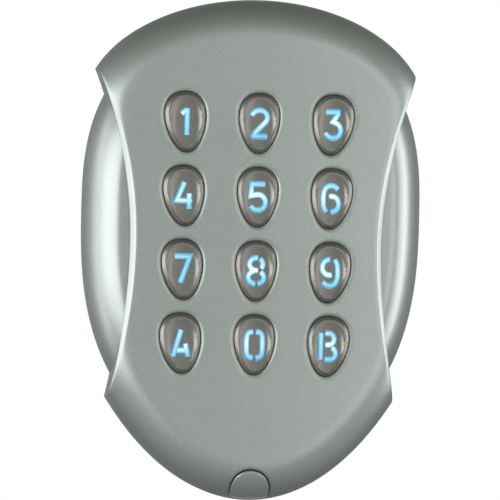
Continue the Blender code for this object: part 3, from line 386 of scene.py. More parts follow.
def shell_outline(inset, sides):
    """The oval that the side shell stands on, its upper and lower halves of different fullness."""
    outline = []
    for i in range(sides):
        turn = 2 * math.pi * i / sides
        rise, power = SHELL_TOP_RISE, SHELL_TOP_POWER
        if math.sin(turn) < 0:
            rise, power = -SHELL_BOTTOM_RISE, SHELL_BOTTOM_POWER
        outline.append((SHELL_HALF_WIDTH * math.cos(turn),
                        SHELL_Z + rise * abs(math.sin(turn)) ** (2 / power)))
    return offset(outline, -inset) if inset else outline


def window_half():
    """Half the width of the shell's window."""
    return MAT_HALF_WIDTH + WINDOW_GAP


def mat_top():
    """The keypad mat's top edge."""
    return KEY_GRID_Z + 1.5 * KEY_PITCH + KEY_HEIGHT / 2 + FLANGE_LIP + MAT_MARGIN


def mat_bottom():
    """The keypad mat's bottom edge."""
    return KEY_GRID_Z - 1.5 * KEY_PITCH - KEY_HEIGHT / 2 - FLANGE_LIP - MAT_MARGIN


def terminal_top():
    """The terminal block's upper edge."""
    return mat_bottom() - BOARD_MARGIN + TERMINAL_MARGIN + TERMINAL_HEIGHT


def way_places():
    """How far across the terminal block's ways stand."""
    return [TERMINAL_PITCH * (i - (TERMINAL_WAYS - 1) / 2) for i in range(TERMINAL_WAYS)]


def cover_post_places():
    """Where the cover's screw posts stand, above and below the board."""
    above = mat_top() + BOARD_MARGIN + GAP + COVER_SCREW_HEAD
    below = mat_bottom() - BOARD_MARGIN - GAP - COVER_SCREW_HEAD
    return [(-COVER_POST_TOP_X, above), (COVER_POST_TOP_X, above), (-COVER_POST_BOTTOM_X, below),
            (COVER_POST_BOTTOM_X, below)]


def board_boss_places():
    """Where the board is screwed on, between the columns."""
    return [(side * KEY_PITCH / 2, KEY_GRID_Z + up * KEY_PITCH) for side in (-1, 1) for up in (1, -1)]


# ---- The cover's surface ----

def waist(z, inset):
    """Half the cover's width at a height, as its two side arcs set it."""
    radius = UPPER_WAIST_RADIUS if z > WAIST_Z else LOWER_WAIST_RADIUS
    return WAIST_HALF_WIDTH - inset + radius - math.sqrt(radius ** 2 - (z - WAIST_Z) ** 2)


def top_arc(x, inset):
    """The top arc's height above x."""
    share = min(abs(x) / (TOP_ARC_HALF_WIDTH - inset), 1.0)
    return TOP_ARC_Z + (TOP_ARC_RISE - inset) * math.sqrt(1 - share ** 2)


def bottom_arc(x, inset):
    """The bottom arc's height at x."""
    share = min(abs(x) / (BOTTOM_ARC_HALF_WIDTH - inset), 1.0)
    return BOTTOM_ARC_Z - (BOTTOM_ARC_RISE - inset) * math.sqrt(1 - share ** 2)


def horn(arc, end, inset):
    """The height at which an arc meets the waist."""
    low, high = WAIST_Z, end
    for _ in range(40):
        middle = (low + high) / 2
        inside = (arc(waist(middle, inset), inset) - middle) * (end - WAIST_Z) > 0
        low, high = (middle, high) if inside else (low, middle)
    return low


def ellipse_distance(x, z, centre, half_width, rise):
    """About how far inside an ellipse a point is."""
    size = math.hypot(x / half_width, (z - centre) / rise)
    slope = math.hypot(x / half_width ** 2, (z - centre) / rise ** 2) / size
    return (1 - size) / slope


def edge_distance(x, z, inset):
    """How far a point of the cover is from the rolled edge, the two arcs blended into one."""
    top = TOP_ARC_HALF_WIDTH - inset - abs(x)
    if z > TOP_ARC_Z:
        top = ellipse_distance(x, z, TOP_ARC_Z, TOP_ARC_HALF_WIDTH - inset, TOP_ARC_RISE - inset)
    bottom = ellipse_distance(x, z, BOTTOM_ARC_Z, BOTTOM_ARC_HALF_WIDTH - inset, BOTTOM_ARC_RISE - inset)
    share = min(max(0.5 + 0.5 * (bottom - top) / ROLL_BLEND, 0.0), 1.0)
    return bottom * (1 - share) + top * share - ROLL_BLEND * share * (1 - share)


def face_depth(x, z, inset=0.0):
    """The depth of the cover's surface, or of the surface a wall's thickness inside it."""
    width = ROLL_WIDTH - inset
    height = ROLL_HEIGHT - inset
    out = 1 - min(max(edge_distance(x, z, inset) / width, 0.0), 1.0)
    drop = height * (1 - (1 - out ** ROLL_POWER) ** (1 / ROLL_POWER))
    return FACE_DEPTH - inset - CROWN * (x / WAIST_HALF_WIDTH) ** 2 - drop


# ---- Making meshes ----

def solid(name, points, faces, outward=True):
    """An object at the origin from points given as (x, depth, z) in millimetres."""
    mesh = bpy.data.meshes.new(name)
    mesh.from_pydata([(x * METRES, -d * METRES, z * METRES) for x, d, z in points], [], faces)
    if outward:
        work = bmesh.new()
        work.from_mesh(mesh)
        bmesh.ops.recalc_face_normals(work, faces=work.faces)
        work.to_mesh(mesh)
        work.free()
    made = bpy.data.objects.new(name, mesh)
    bpy.context.scene.collection.objects.link(made)
    return made


def loft(name, sections):
    """A closed body through (outline, depth) sections. A depth may be a number or a function of x and z."""
    points = []
    for outline, depth in sections:
        points += [(x, depth(x, z) if callable(depth) else depth, z) for x, z in outline]
    count = len(sections[0][0])
    faces = [list(range(count)), list(range(len(points) - count, len(points)))]
    for level in range(len(sections) - 1):
        for i in range(count):
            here = level * count + i
            beside = level * count + (i + 1) % count
            faces.append([here, beside, beside + count, here + count])
    return solid(name, points, faces)


def prism(name, outline, back, front):
    """An outline carried from one depth to another."""
    return loft(name, [(outline, back), (outline, front)])


def pin(name, x, z, steps, sides=40):
    """A stepped round pin along the depth, from (radius, depth) steps."""
    return loft(name, [(circle(x, z, radius, sides), depth) for radius, depth in steps])


def rods(name, places, radius, back, front, sides=40):
    """A straight round rod along the depth at each (x, z) place."""
    return [pin(name, x, z, [(radius, back), (radius, front)], sides) for x, z in places]


def turned(name, x, z, profile, sides=64):
    """A closed (radius, depth) profile turned about an axis along the depth."""
    points = []
    for i in range(sides):
        turn = 2 * math.pi * i / sides
        points += [(x + r * math.cos(turn), d, z + r * math.sin(turn)) for r, d in profile]
    count = len(profile)
    faces = []
    for i in range(sides):
        for j in range(count):
            k = (j + 1) % count
            here, there = i * count, ((i + 1) % sides) * count
            faces.append([here + j, here + k, there + k, there + j])
    return solid(name, points, faces)


def prism_faces(count, start=0):
    """A prism's two ends and its sides, for an outline of count points given twice."""
    ends = [list(range(start, start + count)), list(range(start + count, start + 2 * count))]
    return ends + [[start + i, start + (i + 1) % count, start + (i + 1) % count + count, start + i + count]
                   for i in range(count)]


def along(name, x0, x1, profile):
    """A (depth, z) profile carried along X."""
    return solid(name, [(x, d, z) for x in (x0, x1) for d, z in profile], prism_faces(len(profile)))


def bar(name, z, depth, radius, x0, x1, sides=24):
    """A round bar along X."""
    turns = [2 * math.pi * i / sides for i in range(sides)]
    return along(name, x0, x1, [(depth + radius * math.cos(t), z + radius * math.sin(t)) for t in turns])


def joined(name, parts):
    """Several bodies as one object."""
    points = []
    faces = []
    for part in parts:
        start = len(points)
        points += [tuple(v.co) for v in part.data.vertices]
        faces += [[start + i for i in face.vertices] for face in part.data.polygons]
        bpy.data.objects.remove(part)
    mesh = bpy.data.meshes.new(name)
    mesh.from_pydata(points, [], faces)
    made = bpy.data.objects.new(name, mesh)
    bpy.context.scene.collection.objects.link(made)
    return made


def settle(piece):
    """Turns a piece's live modifiers into plain mesh."""
    bpy.context.view_layer.update()
    graph = bpy.context.evaluated_depsgraph_get()
    mesh = bpy.data.meshes.new_from_object(piece.evaluated_get(graph))
    piece.modifiers.clear()
    piece.data = mesh
    mesh.name = piece.name
    return piece


def combine(piece, tools):
    """Cuts or joins tools, a list of (object, operation), and removes them."""
    for tool, operation in tools:
        modifier = piece.modifiers.new(tool.name, "BOOLEAN")
        modifier.operation = operation
        modifier.solver = "EXACT"
        modifier.object = tool
    settle(piece)
    for tool, _ in tools:
        bpy.data.objects.remove(tool)
    return piece


def smooth(piece, angle=32.0):
    """Smooth shading with the edges sharper than an angle kept."""
    piece.data.shade_smooth()
    piece.data.set_sharp_from_angle(angle=math.radians(angle))
    return piece


def break_edges(piece, width):
    """A small bevel on the sharp edges of a moulded or stamped part."""
    smooth(piece, 38)
    bevel = piece.modifiers.new("broken edges", "BEVEL")
    bevel.width = width
    bevel.segments = 2
    bevel.limit_method = "ANGLE"
    bevel.angle_limit = math.radians(38)
    bevel.harden_normals = True
    return settle(piece)


def dress(piece, finish, body, *nodes):
    """Gives a finished piece its material and body, and hides the frame nodes it stands for."""
    piece.data.materials.clear()
    piece.data.materials.append(bpy.data.materials[finish])
    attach(piece, body)
    if nodes:
        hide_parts(*nodes)
    return piece


def spread(name, places, pattern, turn=0.0):
    """One mesh with a copy of a pattern at each (x, depth, z) place, made by Geometry Nodes."""
    tree = bpy.data.node_groups.new(name + "_spread", "GeometryNodeTree")
    inputs = {}
    for label, kind in (("Places", "NodeSocketGeometry"), ("Pattern", "NodeSocketObject"),
                        ("Turn", "NodeSocketFloat")):
        inputs[label] = tree.interface.new_socket(name=label, in_out="INPUT", socket_type=kind).identifier
    tree.interface.new_socket(name="Copies", in_out="OUTPUT", socket_type="NodeSocketGeometry")
    given = add_node(tree, "NodeGroupInput")
    shape = add_node(tree, "GeometryNodeObjectInfo", {}, {"Object": (given, "Pattern")})
    angle = add_node(tree, "ShaderNodeCombineXYZ", {}, {"Y": (given, "Turn")})
    copies = add_node(tree, "GeometryNodeInstanceOnPoints", {}, {
        "Points": (given, "Places"), "Instance": (shape, "Geometry"), "Rotation": (angle, "Vector")})
    real = add_node(tree, "GeometryNodeRealizeInstances", {}, {"Geometry": (copies, "Instances")})
    add_node(tree, "NodeGroupOutput", {}, {"Copies": (real, "Geometry")})
    made = solid(name, places, [], outward=False)
    modifier = made.modifiers.new("spread", "NODES")
    modifier.node_group = tree
    modifier[inputs["Pattern"]] = pattern
    modifier[inputs["Turn"]] = turn
    settle(made)
    bpy.data.objects.remove(pattern)
    return made


# ---- Materials ----

def linear(hex_code):
    """A colour given as sRGB hex, as linear red, green, blue and alpha."""
    parts = [int(hex_code[i:i + 2], 16) / 255 for i in (1, 3, 5)]
    return tuple(c / 12.92 if c <= 0.04045 else ((c + 0.055) / 1.055) ** 2.4 for c in parts) + (1.0,)


def add_node(tree, kind, settings=None, links=None):
    """Adds a node: settings are its properties or input values, links feed its inputs."""
    node = tree.nodes.new(kind)
    for name, value in (settings or {}).items():
        if isinstance(name, str) and name not in node.inputs:
            setattr(node, name, value)
        else:
            node.inputs[name].default_value = value
    for name, (source, output) in (links or {}).items():
        tree.links.new(source.outputs[output], node.inputs[name])
    return node


def new_material(name, settings):
    """A material with a principled shader of those settings. Returns it with its tree and shader."""
    material = bpy.data.materials.new(name)
    material.use_nodes = True
    tree = material.node_tree
    tree.nodes.clear()
    shader = add_node(tree, "ShaderNodeBsdfPrincipled", settings)
    add_node(tree, "ShaderNodeOutputMaterial", {}, {"Surface": (shader, "BSDF")})
    return material, tree, shader


def ramp(tree, source, output, stops):
    """A colour ramp over a value, from (position, colour) stops."""
    node = add_node(tree, "ShaderNodeValToRGB", {}, {"Fac": (source, output)})
    while len(node.color_ramp.elements) < len(stops):
        node.color_ramp.elements.new(0.5)
    for element, (position, colour) in zip(node.color_ramp.elements, stops):
        element.position = position
        element.color = colour
    return node


def shade(colour, share):
    """A linear colour made darker or lighter."""
    return tuple(min(c * share, 1.0) for c in colour[:3]) + (1.0,)


def grained(name, colour, contrast, grain_mm, bump_mm, settings, stretch=(1, 1, 1), roughness=None):
    """A finish whose colour, height and gloss vary with a fine grain of a real size."""
    material, tree, shader = new_material(name, settings)
    where = add_node(tree, "ShaderNodeTexCoord")
    placed = add_node(tree, "ShaderNodeMapping", {"Scale": stretch}, {"Vector": (where, "Object")})
    grain = add_node(tree, "ShaderNodeTexNoise", {"Scale": 0.5 / (grain_mm * METRES), "Detail": 3.0,
                                                  "Roughness": 0.6}, {"Vector": (placed, "Vector")})
    cloud = add_node(tree, "ShaderNodeTexNoise", {"Scale": 0.5 / (14 * METRES), "Detail": 2.0},
                     {"Vector": (where, "Object")})
    tone = add_node(tree, "ShaderNodeMath", {"operation": "MULTIPLY_ADD", 1: 0.25},
                    {0: (cloud, "Fac"), 2: (grain, "Fac")})
    tint = ramp(tree, tone, "Value", [(0.35, shade(colour, 1 - contrast)),
                                      (0.85, shade(colour, 1 + contrast))])
    tree.links.new(tint.outputs["Color"], shader.inputs["Base Color"])
    if roughness:
        gloss = add_node(tree, "ShaderNodeMapRange", {
            "From Min": 0.3, "From Max": 0.7, "To Min": roughness[0], "To Max": roughness[1]},
            {"Value": (grain, "Fac")})
        tree.links.new(gloss.outputs["Result"], shader.inputs["Roughness"])
    relief = add_node(tree, "ShaderNodeBump", {"Strength": 1.0, "Distance": bump_mm * METRES},
                      {"Height": (grain, "Fac")})
    tree.links.new(relief.outputs["Normal"], shader.inputs["Normal"])
    return material


def satin_metallic_paint():
    """Aluminium-flake lacquer sprayed on cast zinc: a soft silver-grey sheen with a fine sparkle."""
    colour = (*bpy.context.scene.keypad_finishes.paint, 1.0)
    # Flakes are about 0.05 mm; they are drawn 0.3 mm wide so that the sparkle shows.
    return grained("satin_metallic_paint_on_cast_zinc", colour, 0.09, 0.3, 0.004,
                   {"Metallic": 0.86, "Roughness": 0.36}, roughness=(0.33, 0.42))


def plated_key_metal():
    """Cast zinc with a dark nickel plating, tumbled satin: brownish grey, glossier than the paint."""
    colour = (*bpy.context.scene.keypad_finishes.key_metal, 1.0)
    return grained("dark_nickel_plated_cast_zinc", colour, 0.08, 0.35, 0.003,
                   {"Metallic": 0.92, "Roughness": 0.3}, roughness=(0.26, 0.36))


def lit_light_guide():
    """Frosted polycarbonate lit from behind: nearly white over the lamp, blue at the strokes' edges."""
    finishes = bpy.context.scene.keypad_finishes
    edge = (*finishes.glow, 1.0)
    material, tree, shader = new_material("frosted_polycarbonate_lit_from_behind", {
        "Base Color": linear("#1E3440"), "Roughness": 0.45, "IOR": 1.58,
        "Emission Strength": finishes.brightness})
    light = add_node(tree, "ShaderNodeAttribute", {"attribute_name": "glow"})
    where = add_node(tree, "ShaderNodeTexCoord")
    frost = add_node(tree, "ShaderNodeTexNoise", {"Scale": 0.5 / (0.5 * METRES), "Detail": 2.0},
                     {"Vector": (where, "Object")})
    level = add_node(tree, "ShaderNodeMath", {"operation": "MULTIPLY_ADD", 1: 0.16},
                     {0: (frost, "Fac"), 2: (light, "Fac")})
    tint = ramp(tree, level, "Value", [
        (0.06, shade(edge, 0.35)), (0.32, edge), (0.62, (0.30, 0.70, 0.90, 1.0)),
        (0.95, (0.86, 0.98, 1.0, 1.0))])
    tree.links.new(tint.outputs["Color"], shader.inputs["Emission Color"])
    return material


def cap_elastomer():
    """Moulded thermoplastic rubber with aluminium pigment, matched to the paint but duller."""
    colour = (*bpy.context.scene.keypad_finishes.paint, 1.0)
    return grained("pigmented_moulded_rubber_cap", shade(colour, 0.9), 0.07, 0.35, 0.004,
                   {"Metallic": 0.7, "Roughness": 0.42})


def zinc_plated_sheet():
    """Zinc-plated sheet steel: cool grey with faint rolling marks along its length."""
    return grained("zinc_plated_sheet_steel", linear("#A9AEB0"), 0.10, 0.9, 0.004,
                   {"Metallic": 1.0, "Roughness": 0.34}, stretch=(1.0, 1.0, 0.12), roughness=(0.28, 0.42))


def screw_steel():
    """Zinc-plated steel screws, bright and a little yellow from passivation."""
    return grained("passivated_screw_steel", linear("#B9B7AB"), 0.10, 0.4, 0.003,
                   {"Metallic": 1.0, "Roughness": 0.27}, roughness=(0.2, 0.36))


def tin_solder():
    """Lead-free tin: solder joints and leads, bright but slightly grainy from cooling."""
    return grained("tin_solder", linear("#C6C8C8"), 0.08, 0.3, 0.006, {"Metallic": 1.0, "Roughness": 0.3})


def plastic(name, hex_code, roughness, ior=1.5, grain_mm=0.25, contrast=0.05):
    """An injection-moulded plastic with the fine spark-eroded texture of its tool."""
    return grained(name, linear(hex_code), contrast, grain_mm, 0.006, {"Roughness": roughness, "IOR": ior})


# ---- Operators: one for each piece or group ----

class KeypadOperator:
    """What the keypad's operators share."""

    bl_options = {"REGISTER", "UNDO"}

    @classmethod
    def poll(cls, context):
        return context.scene is not None


def cover_solid(name, inset, back, columns, rows):
    """The cover's closed outer body, or the hollow a wall's thickness inside it."""
    low = horn(bottom_arc, COVER_BOTTOM, inset)
    high = horn(top_arc, COVER_TOP, inset)
    low_half = waist(low, inset)
    high_half = waist(high, inset)
    edge = EDGE_PROFILE if inset == 0.0 else ((0.0, 0.0), (1.0, 1.0))
    points = []
    for r in range(rows + 1):
        up = (1 - math.cos(math.pi * r / rows)) / 2
        side_z = low + (high - low) * up
        half = waist(side_z, inset)
        taper = max(math.sin(math.pi * up), 0.0) ** 1.1
        bevel = 0.15 + EDGE_BEVEL_WIDTH * taper
        inner = 1 - bevel / half
        across = [(-inner - s * (1 - inner), drop) for s, drop in edge[:0:-1]]
        across += [(inner * (2 * c / columns - 1), 0.0) for c in range(columns + 1)]
        across += [(inner + s * (1 - inner), drop) for s, drop in edge[1:]]
        for share, drop in across:
            bottom = bottom_arc(share * low_half, inset)
            top = top_arc(share * high_half, inset)
            x = share * half
            z = side_z + (1 - up) * (bottom - low) + up * (top - high)
            depth = face_depth(x, z, inset) - EDGE_BEVEL_DROP * taper * drop
            points.append((x, depth, z))
    wide = columns + 2 * len(edge) - 1
    faces = []
    for r in range(rows):
        for c in range(wide - 1):
            here = r * wide + c
            faces.append([here, here + 1, here + wide + 1, here + wide])
    rim = list(range(wide))
    rim += [r * wide + wide - 1 for r in range(1, rows + 1)]
    rim += [rows * wide + c for c in range(wide - 2, -1, -1)]
    rim += [r * wide for r in range(rows - 1, 0, -1)]
    start = len(points)
    points += [(points[i][0], back, points[i][2]) for i in rim]
    for i in range(len(rim)):
        j = (i + 1) % len(rim)
        faces.append([rim[j], rim[i], start + i, start + j])
    faces.append(list(range(start, len(points))))
    return solid(name, points, faces)


def shell_solid(name, inset, back, sides, steps):
    """The shell's closed outer body, or the hollow a wall's thickness inside it."""
    front = SHELL_FACE_DEPTH - inset
    sections = [(shell_outline(inset, sides), back)]
    for i in range(steps + 1):
        turn = math.pi / 2 * i / steps
        inward = inset + (SHELL_ROLL_WIDTH - inset) * (1 - math.cos(turn))
        depth = SHELL_SIDE_DEPTH + (front - SHELL_SIDE_DEPTH) * math.sin(turn)
        sections.append((shell_outline(inward, sides), depth))
    return loft(name, sections)


def under_face(lowest, drop):
    """A function that gives the depth a little under the cover's face, and nowhere below the lowest."""
    return lambda x, z: max(face_depth(x, z), lowest) - drop


def cover_posts():
    """The posts for the cover's screws and the bosses for the board's."""
    root = COVER_INNER_DEPTH - CROWN + COVER_WALL / 2
    foot = SHELL_FACE_DEPTH - SHELL_WALL - GAP
    posts = rods("post", cover_post_places(), COVER_POST_RADIUS, foot, root, 24)
    posts += rods("boss", board_boss_places(), BOARD_BOSS_RADIUS, BOARD_FRONT_DEPTH + GAP, root, 24)
    return joined("posts", posts)


def cover_screw_holes():
    """The pilot holes in the posts and bosses, and the lock screw's stepped bore."""
    post_end = SHELL_FACE_DEPTH + 0.8
    boss_end = BOARD_FRONT_DEPTH + 3.0
    holes = rods("hole", cover_post_places(), COVER_SCREW_PILOT, 20.0, post_end, 16)
    holes += rods("hole", board_boss_places(), BOARD_SCREW_PILOT, 18.0, boss_end, 16)
    shank = LOCK_SCREW_RADIUS + RUNNING_GAP
    head = LOCK_SCREW_HEAD + RUNNING_GAP
    holes.append(pin("hole", 0.0, LOCK_SCREW_Z, [
        (shank, LOCK_POCKET_DEPTH - 1), (shank, LOCK_FLOOR_DEPTH), (head, LOCK_FLOOR_DEPTH),
        (head, CAP_SEAT_DEPTH + 1)]))
    return joined("holes", holes)


def cap_bucket():
    """The wall round the cap's recess, kept inside the cover."""
    wall = circle(0.0, CAP_Z, CAP_RADIUS + GAP + BUCKET_WALL, 48)
    bucket = prism("bucket", wall, LOCK_POCKET_DEPTH, FACE_DEPTH)
    limit = cover_solid("limit", COVER_WALL / 2, COVER_RIM_DEPTH, 24, 48)
    return combine(bucket, [(limit, "INTERSECT")])


def cap_recess():
    """The round recess for the cap, its edge rounded over."""
    recess = circle(0.0, CAP_Z, CAP_RADIUS + GAP, 96)
    edge = [(offset(recess, grow), under_face(CAP_SEAT_DEPTH + 1.5, drop))
            for grow, drop in ((0.0, 0.75), (0.12, 0.42), (0.38, 0.14), (0.7, -0.02), (0.8, -1.5))]
    return loft("cap_recess", [(recess, CAP_SEAT_DEPTH)] + edge)


def key_wells():
    """The keys' holes through the face, with their rounded sinks."""
    wells = []
    for _, column, row in keys():
        hole = egg(column, row, WELL_GAP)
        sink = [(offset(hole, grow * WELL_SINK), under_face(CAP_SEAT_DEPTH + 1.5, drop))
                for grow, drop in WELL_PROFILE]
        wells.append(loft("well", [(hole, COVER_INNER_DEPTH - CROWN - 1)] + sink))
    return joined("wells", wells)


class KEYPAD_OT_cover(KeypadOperator, bpy.types.Operator):
    """Builds the waisted front cover with its key wells, cap recess and screw posts"""

    bl_idname = "keypad.cover"
    bl_label = "Front cover"

    def execute(self, context):
        shape = context.scene.keypad_shape
        cover = cover_solid("cover", 0.0, COVER_RIM_DEPTH, shape.cover_columns, shape.cover_rows)
        combine(cover, [
            (cover_solid("hollow", COVER_WALL, COVER_RIM_DEPTH - 1, 24, 40), "DIFFERENCE"),
            (shell_solid("clearance", -GAP, -2.0, 96, 12), "DIFFERENCE"), (cover_posts(), "UNION"),
            (cap_bucket(), "UNION"), (cover_screw_holes(), "DIFFERENCE"), (cap_recess(), "DIFFERENCE"),
            (key_wells(), "DIFFERENCE")])
        dress(smooth(cover), "satin_metallic_paint_on_cast_zinc", "housing", "front_cover")
        return {"FINISHED"}


def hinge_parts():
    """The shell's two hinge ears and the bar between them."""
    ear_x = HOOK_X + HOOK_WIDTH / 2 + EAR_GAP
    ear_top = SHELL_Z + SHELL_TOP_RISE * (1 - (ear_x / SHELL_HALF_WIDTH) ** 2) ** (1 / SHELL_TOP_POWER)
    round_bar = HINGE_BAR_RADIUS + 0.4
    ears = []
    for side in (-1, 1):
        edges = sorted((side * ear_x, side * (ear_x + EAR_WIDTH)))
        ear = rectangle(*edges, HINGE_Z - round_bar, ear_top - SHELL_WALL / 2)
        ears.append(prism("ear", ear, HINGE_DEPTH - round_bar, EAR_DEPTH))
    reach = ear_x + EAR_WIDTH / 2
    return [(joined("ears", ears), "UNION"),
            (bar("bar", HINGE_Z, HINGE_DEPTH, HINGE_BAR_RADIUS, -reach, reach), "UNION")]


def rim_relief():
    """The wedge cut off the shell's upper rim so that it clears the wall when the housing swings."""
    slope = math.tan(math.radians(12.0))
    wedge = []
    for x in (-SHELL_HALF_WIDTH, SHELL_HALF_WIDTH):
        wedge += [(x, 0.0, HINGE_Z), (x, SHELL_RIM_DEPTH, HINGE_Z),
                  (x, SHELL_RIM_DEPTH + SHELL_TOP_RISE * slope, HINGE_Z + SHELL_TOP_RISE),
                  (x, 0.0, HINGE_Z + SHELL_TOP_RISE)]
    return solid("relief", wedge, [[0, 1, 2, 3], [4, 5, 6, 7], [0, 1, 5, 4], [1, 2, 6, 5], [2, 3, 7, 6],
                                   [3, 0, 4, 7]])


class KEYPAD_OT_shell(KeypadOperator, bpy.types.Operator):
    """Builds the oval side shell with its window, hinge ears and hinge bar"""

    bl_idname = "keypad.shell"
    bl_label = "Side shell"

    def execute(self, context):
        shell = shell_solid("shell", 0.0, SHELL_RIM_DEPTH, context.scene.keypad_shape.shell_sides, 22)
        behind = SHELL_FACE_DEPTH - SHELL_WALL - 2
        window = rectangle(-window_half(), window_half(), mat_bottom(), mat_top(), MAT_CORNER)
        holes = rods("hole", cover_post_places(), COVER_POST_RADIUS + GAP, behind, FACE_DEPTH, 32)
        tongue = TONGUE_HALF_WIDTH + RUNNING_GAP
        notch = rectangle(-tongue, tongue, COVER_BOTTOM, COVER_BOTTOM + SHELL_BOTTOM_MARGIN + 2 * SHELL_WALL)
        combine(shell, [
            (shell_solid("hollow", SHELL_WALL, SHELL_RIM_DEPTH - 1, 96, 10), "DIFFERENCE"),
            (prism("window", window, behind, FACE_DEPTH), "DIFFERENCE"),
            (joined("holes", holes), "DIFFERENCE")] + hinge_parts() + [
            (rim_relief(), "DIFFERENCE"),
            (prism("notch", notch, 0.0, PLATE_THICKNESS + RUNNING_GAP), "DIFFERENCE")])
        dress(smooth(shell), "satin_metallic_paint_on_cast_zinc", "housing", "side_shell")
        return {"FINISHED"}


# ---- Figures ----

def arc_points(x, z, half_width, half_height, start, end, steps=20):
    """Points along part of an ellipse, angles in degrees."""
    turns = [math.radians(start + (end - start) * i / steps) for i in range(steps + 1)]
    return [(x + half_width * math.cos(t), z + half_height * math.sin(t)) for t in turns]


def eased(points, steps=7):
    """A smooth curve through the points."""
    path = []
    for i in range(len(points) - 1):
        a = Vector(points[max(i - 1, 0)])
        b, c = Vector(points[i]), Vector(points[i + 1])
        d = Vector(points[min(i + 2, len(points) - 1)])
        for step in range(steps):
            t = step / steps
            path.append(tuple(0.5 * (2 * b + (c - a) * t + (2 * a - 5 * b + 4 * c - d) * t * t
                                     + (3 * b - a - 3 * c + d) * t ** 3)))
    return path + [points[-1]]


def figure_strokes(figure):
    """The centre lines of a figure's strokes in a box from -1 to 1, with breaks between them."""
    strokes = {
        "1": [[(-0.55, 0.6), (0.1, 0.92)], [(0.15, 1), (0.15, -1)]],
        "2": [arc_points(0, 0.45, 1, 0.55, 165, -38) + [(-0.72, -0.85)], [(-1, -1), (1, -1)]],
        "3": [[(-0.9, 1), (0.9, 1)], [(0.72, 0.93), (0.0, 0.25)] + arc_points(0, -0.4, 1, 0.6, 70, -160)],
        "4": [[(0.0, 1), (-0.95, -0.4), (1, -0.4)], [(0.65, 0.15), (0.65, -1)]],
        "5": [[(0.9, 1), (-0.8, 1), (-0.9, 0.1)] + arc_points(0, -0.4, 1, 0.6, 100, -150)],
        "6": [eased([(0.85, 0.75), (0.2, 1), (-0.6, 0.9), (-1, 0.4), (-1, -0.5), (-0.65, -1)]),
              arc_points(0.05, -0.4, 0.9, 0.6, 110, -95)],
        "7": [[(-1, 1), (0.95, 1), (-0.25, -1)]],
        "8": [arc_points(0, 0.52, 0.85, 0.48, 75, 285), arc_points(0, 0.52, 0.85, 0.48, -40, 55),
              arc_points(0, -0.5, 1, 0.5, 110, 265), arc_points(0, -0.5, 1, 0.5, -75, 55)],
        "9": [eased([(-0.85, -0.75), (-0.2, -1), (0.6, -0.9), (1, -0.4), (1, 0.5), (0.65, 1)]),
              arc_points(-0.05, 0.4, 0.9, 0.6, 85, 290)],
        "A": [[(-0.95, -1), (0, 1)], [(0.6, -0.05), (0.95, -1)], [(-0.5, -0.55), (0.6, -0.55)]],
        "0": [eased([(-0.2, 1), (-0.75, 0.9), (-1, 0.55), (-1, -0.55), (-0.75, -0.9), (-0.2, -1)]),
              eased([(0.2, -1), (0.75, -0.9), (1, -0.55), (1, 0.55), (0.75, 0.9), (0.2, 1)])],
        "B": [[(-0.9, -1), (-0.9, 1)],
              [(-0.35, 1)] + arc_points(0.15, 0.56, 0.62, 0.44, 90, -90) + [(-0.3, 0.12)],
              arc_points(0.3, -0.55, 0.7, 0.45, 72, -90) + [(-0.35, -1)]],
    }
    return strokes[figure]


def stroke_rows(line, width, extend, corner=0.35):
    """Rows of five points across a stroke from one end to the other, its end corners rounded."""
    line = [Vector(point) for point in line]
    line[0] = line[0] + (line[0] - line[1]).normalized() * extend
    line[-1] = line[-1] + (line[-1] - line[-2]).normalized() * extend
    ends = []
    for end, beside in ((line[0], line[1]), (line[-1], line[-2])):
        inward = (beside - end).normalized()
        turns = [math.pi / 2 * step / 4 for step in range(5)]
        ends.append([(end + inward * corner * (1 - math.sin(t)), width / 2 - corner * (1 - math.cos(t)))
                     for t in turns])
    middle = [(point, width / 2) for point in line[1:-1]
              if min((point - line[0]).length, (point - line[-1]).length) > corner * 1.1]
    sections = ends[0][::-1] + middle + ends[1]
    rows = []
    for i, (point, half) in enumerate(sections):
        before = point - sections[max(i - 1, 0)][0]
        after = sections[min(i + 1, len(sections) - 1)][0] - point
        before = before if before.length > 1e-6 else after
        after = after if after.length > 1e-6 else before
        side_before = Vector((before.y, -before.x)).normalized()
        side_after = Vector((after.y, -after.x)).normalized()
        side = (side_before + side_after).normalized()
        reach = half / max(side.dot(side_after), 0.6)
        rows.append([tuple(point + side * reach * share) for share in (-1.0, -0.6, 0.0, 0.6, 1.0)])
    return rows


def figure_lines(figure, column, row):
    """A figure's centre lines in place on the face."""
    x, z = key_centre(column, row)
    half_width = (FIGURE_WIDTH - FIGURE_STROKE) / 2
    half_height = (FIGURE_HEIGHT - FIGURE_STROKE) / 2
    return [[(x + a * half_width, z + b * half_height) for a, b in line] for line in figure_strokes(figure)]


def dish_depth(column, row):
    """A function that gives the depth of a key's dished face."""
    x, z = key_centre(column, row)

    def depth(px, pz):
        up = (pz - z) / (KEY_HEIGHT / 2 - KEY_RIM)
        share = math.hypot((px - x) / (KEY_WIDTH / 2 - KEY_RIM), up)
        share = min(share, 1.0)
        hollow = (KEY_DISH - KEY_DISH_STEP) * (1 - min(abs(up), 1.0) ** 2) * (1 - share ** 6)
        return KEY_TOP_DEPTH - KEY_DISH_STEP * (1 - share ** 8) - hollow
    return depth


def strip_rim(count):
    """The numbers of the points round a stroke's strip, for a count of rows of five."""
    last = 5 * (count - 1)
    return ([5 * row for row in range(count)] + [last + 1, last + 2, last + 3]
            + [5 * row + 4 for row in range(count - 1, -1, -1)] + [3, 2, 1])


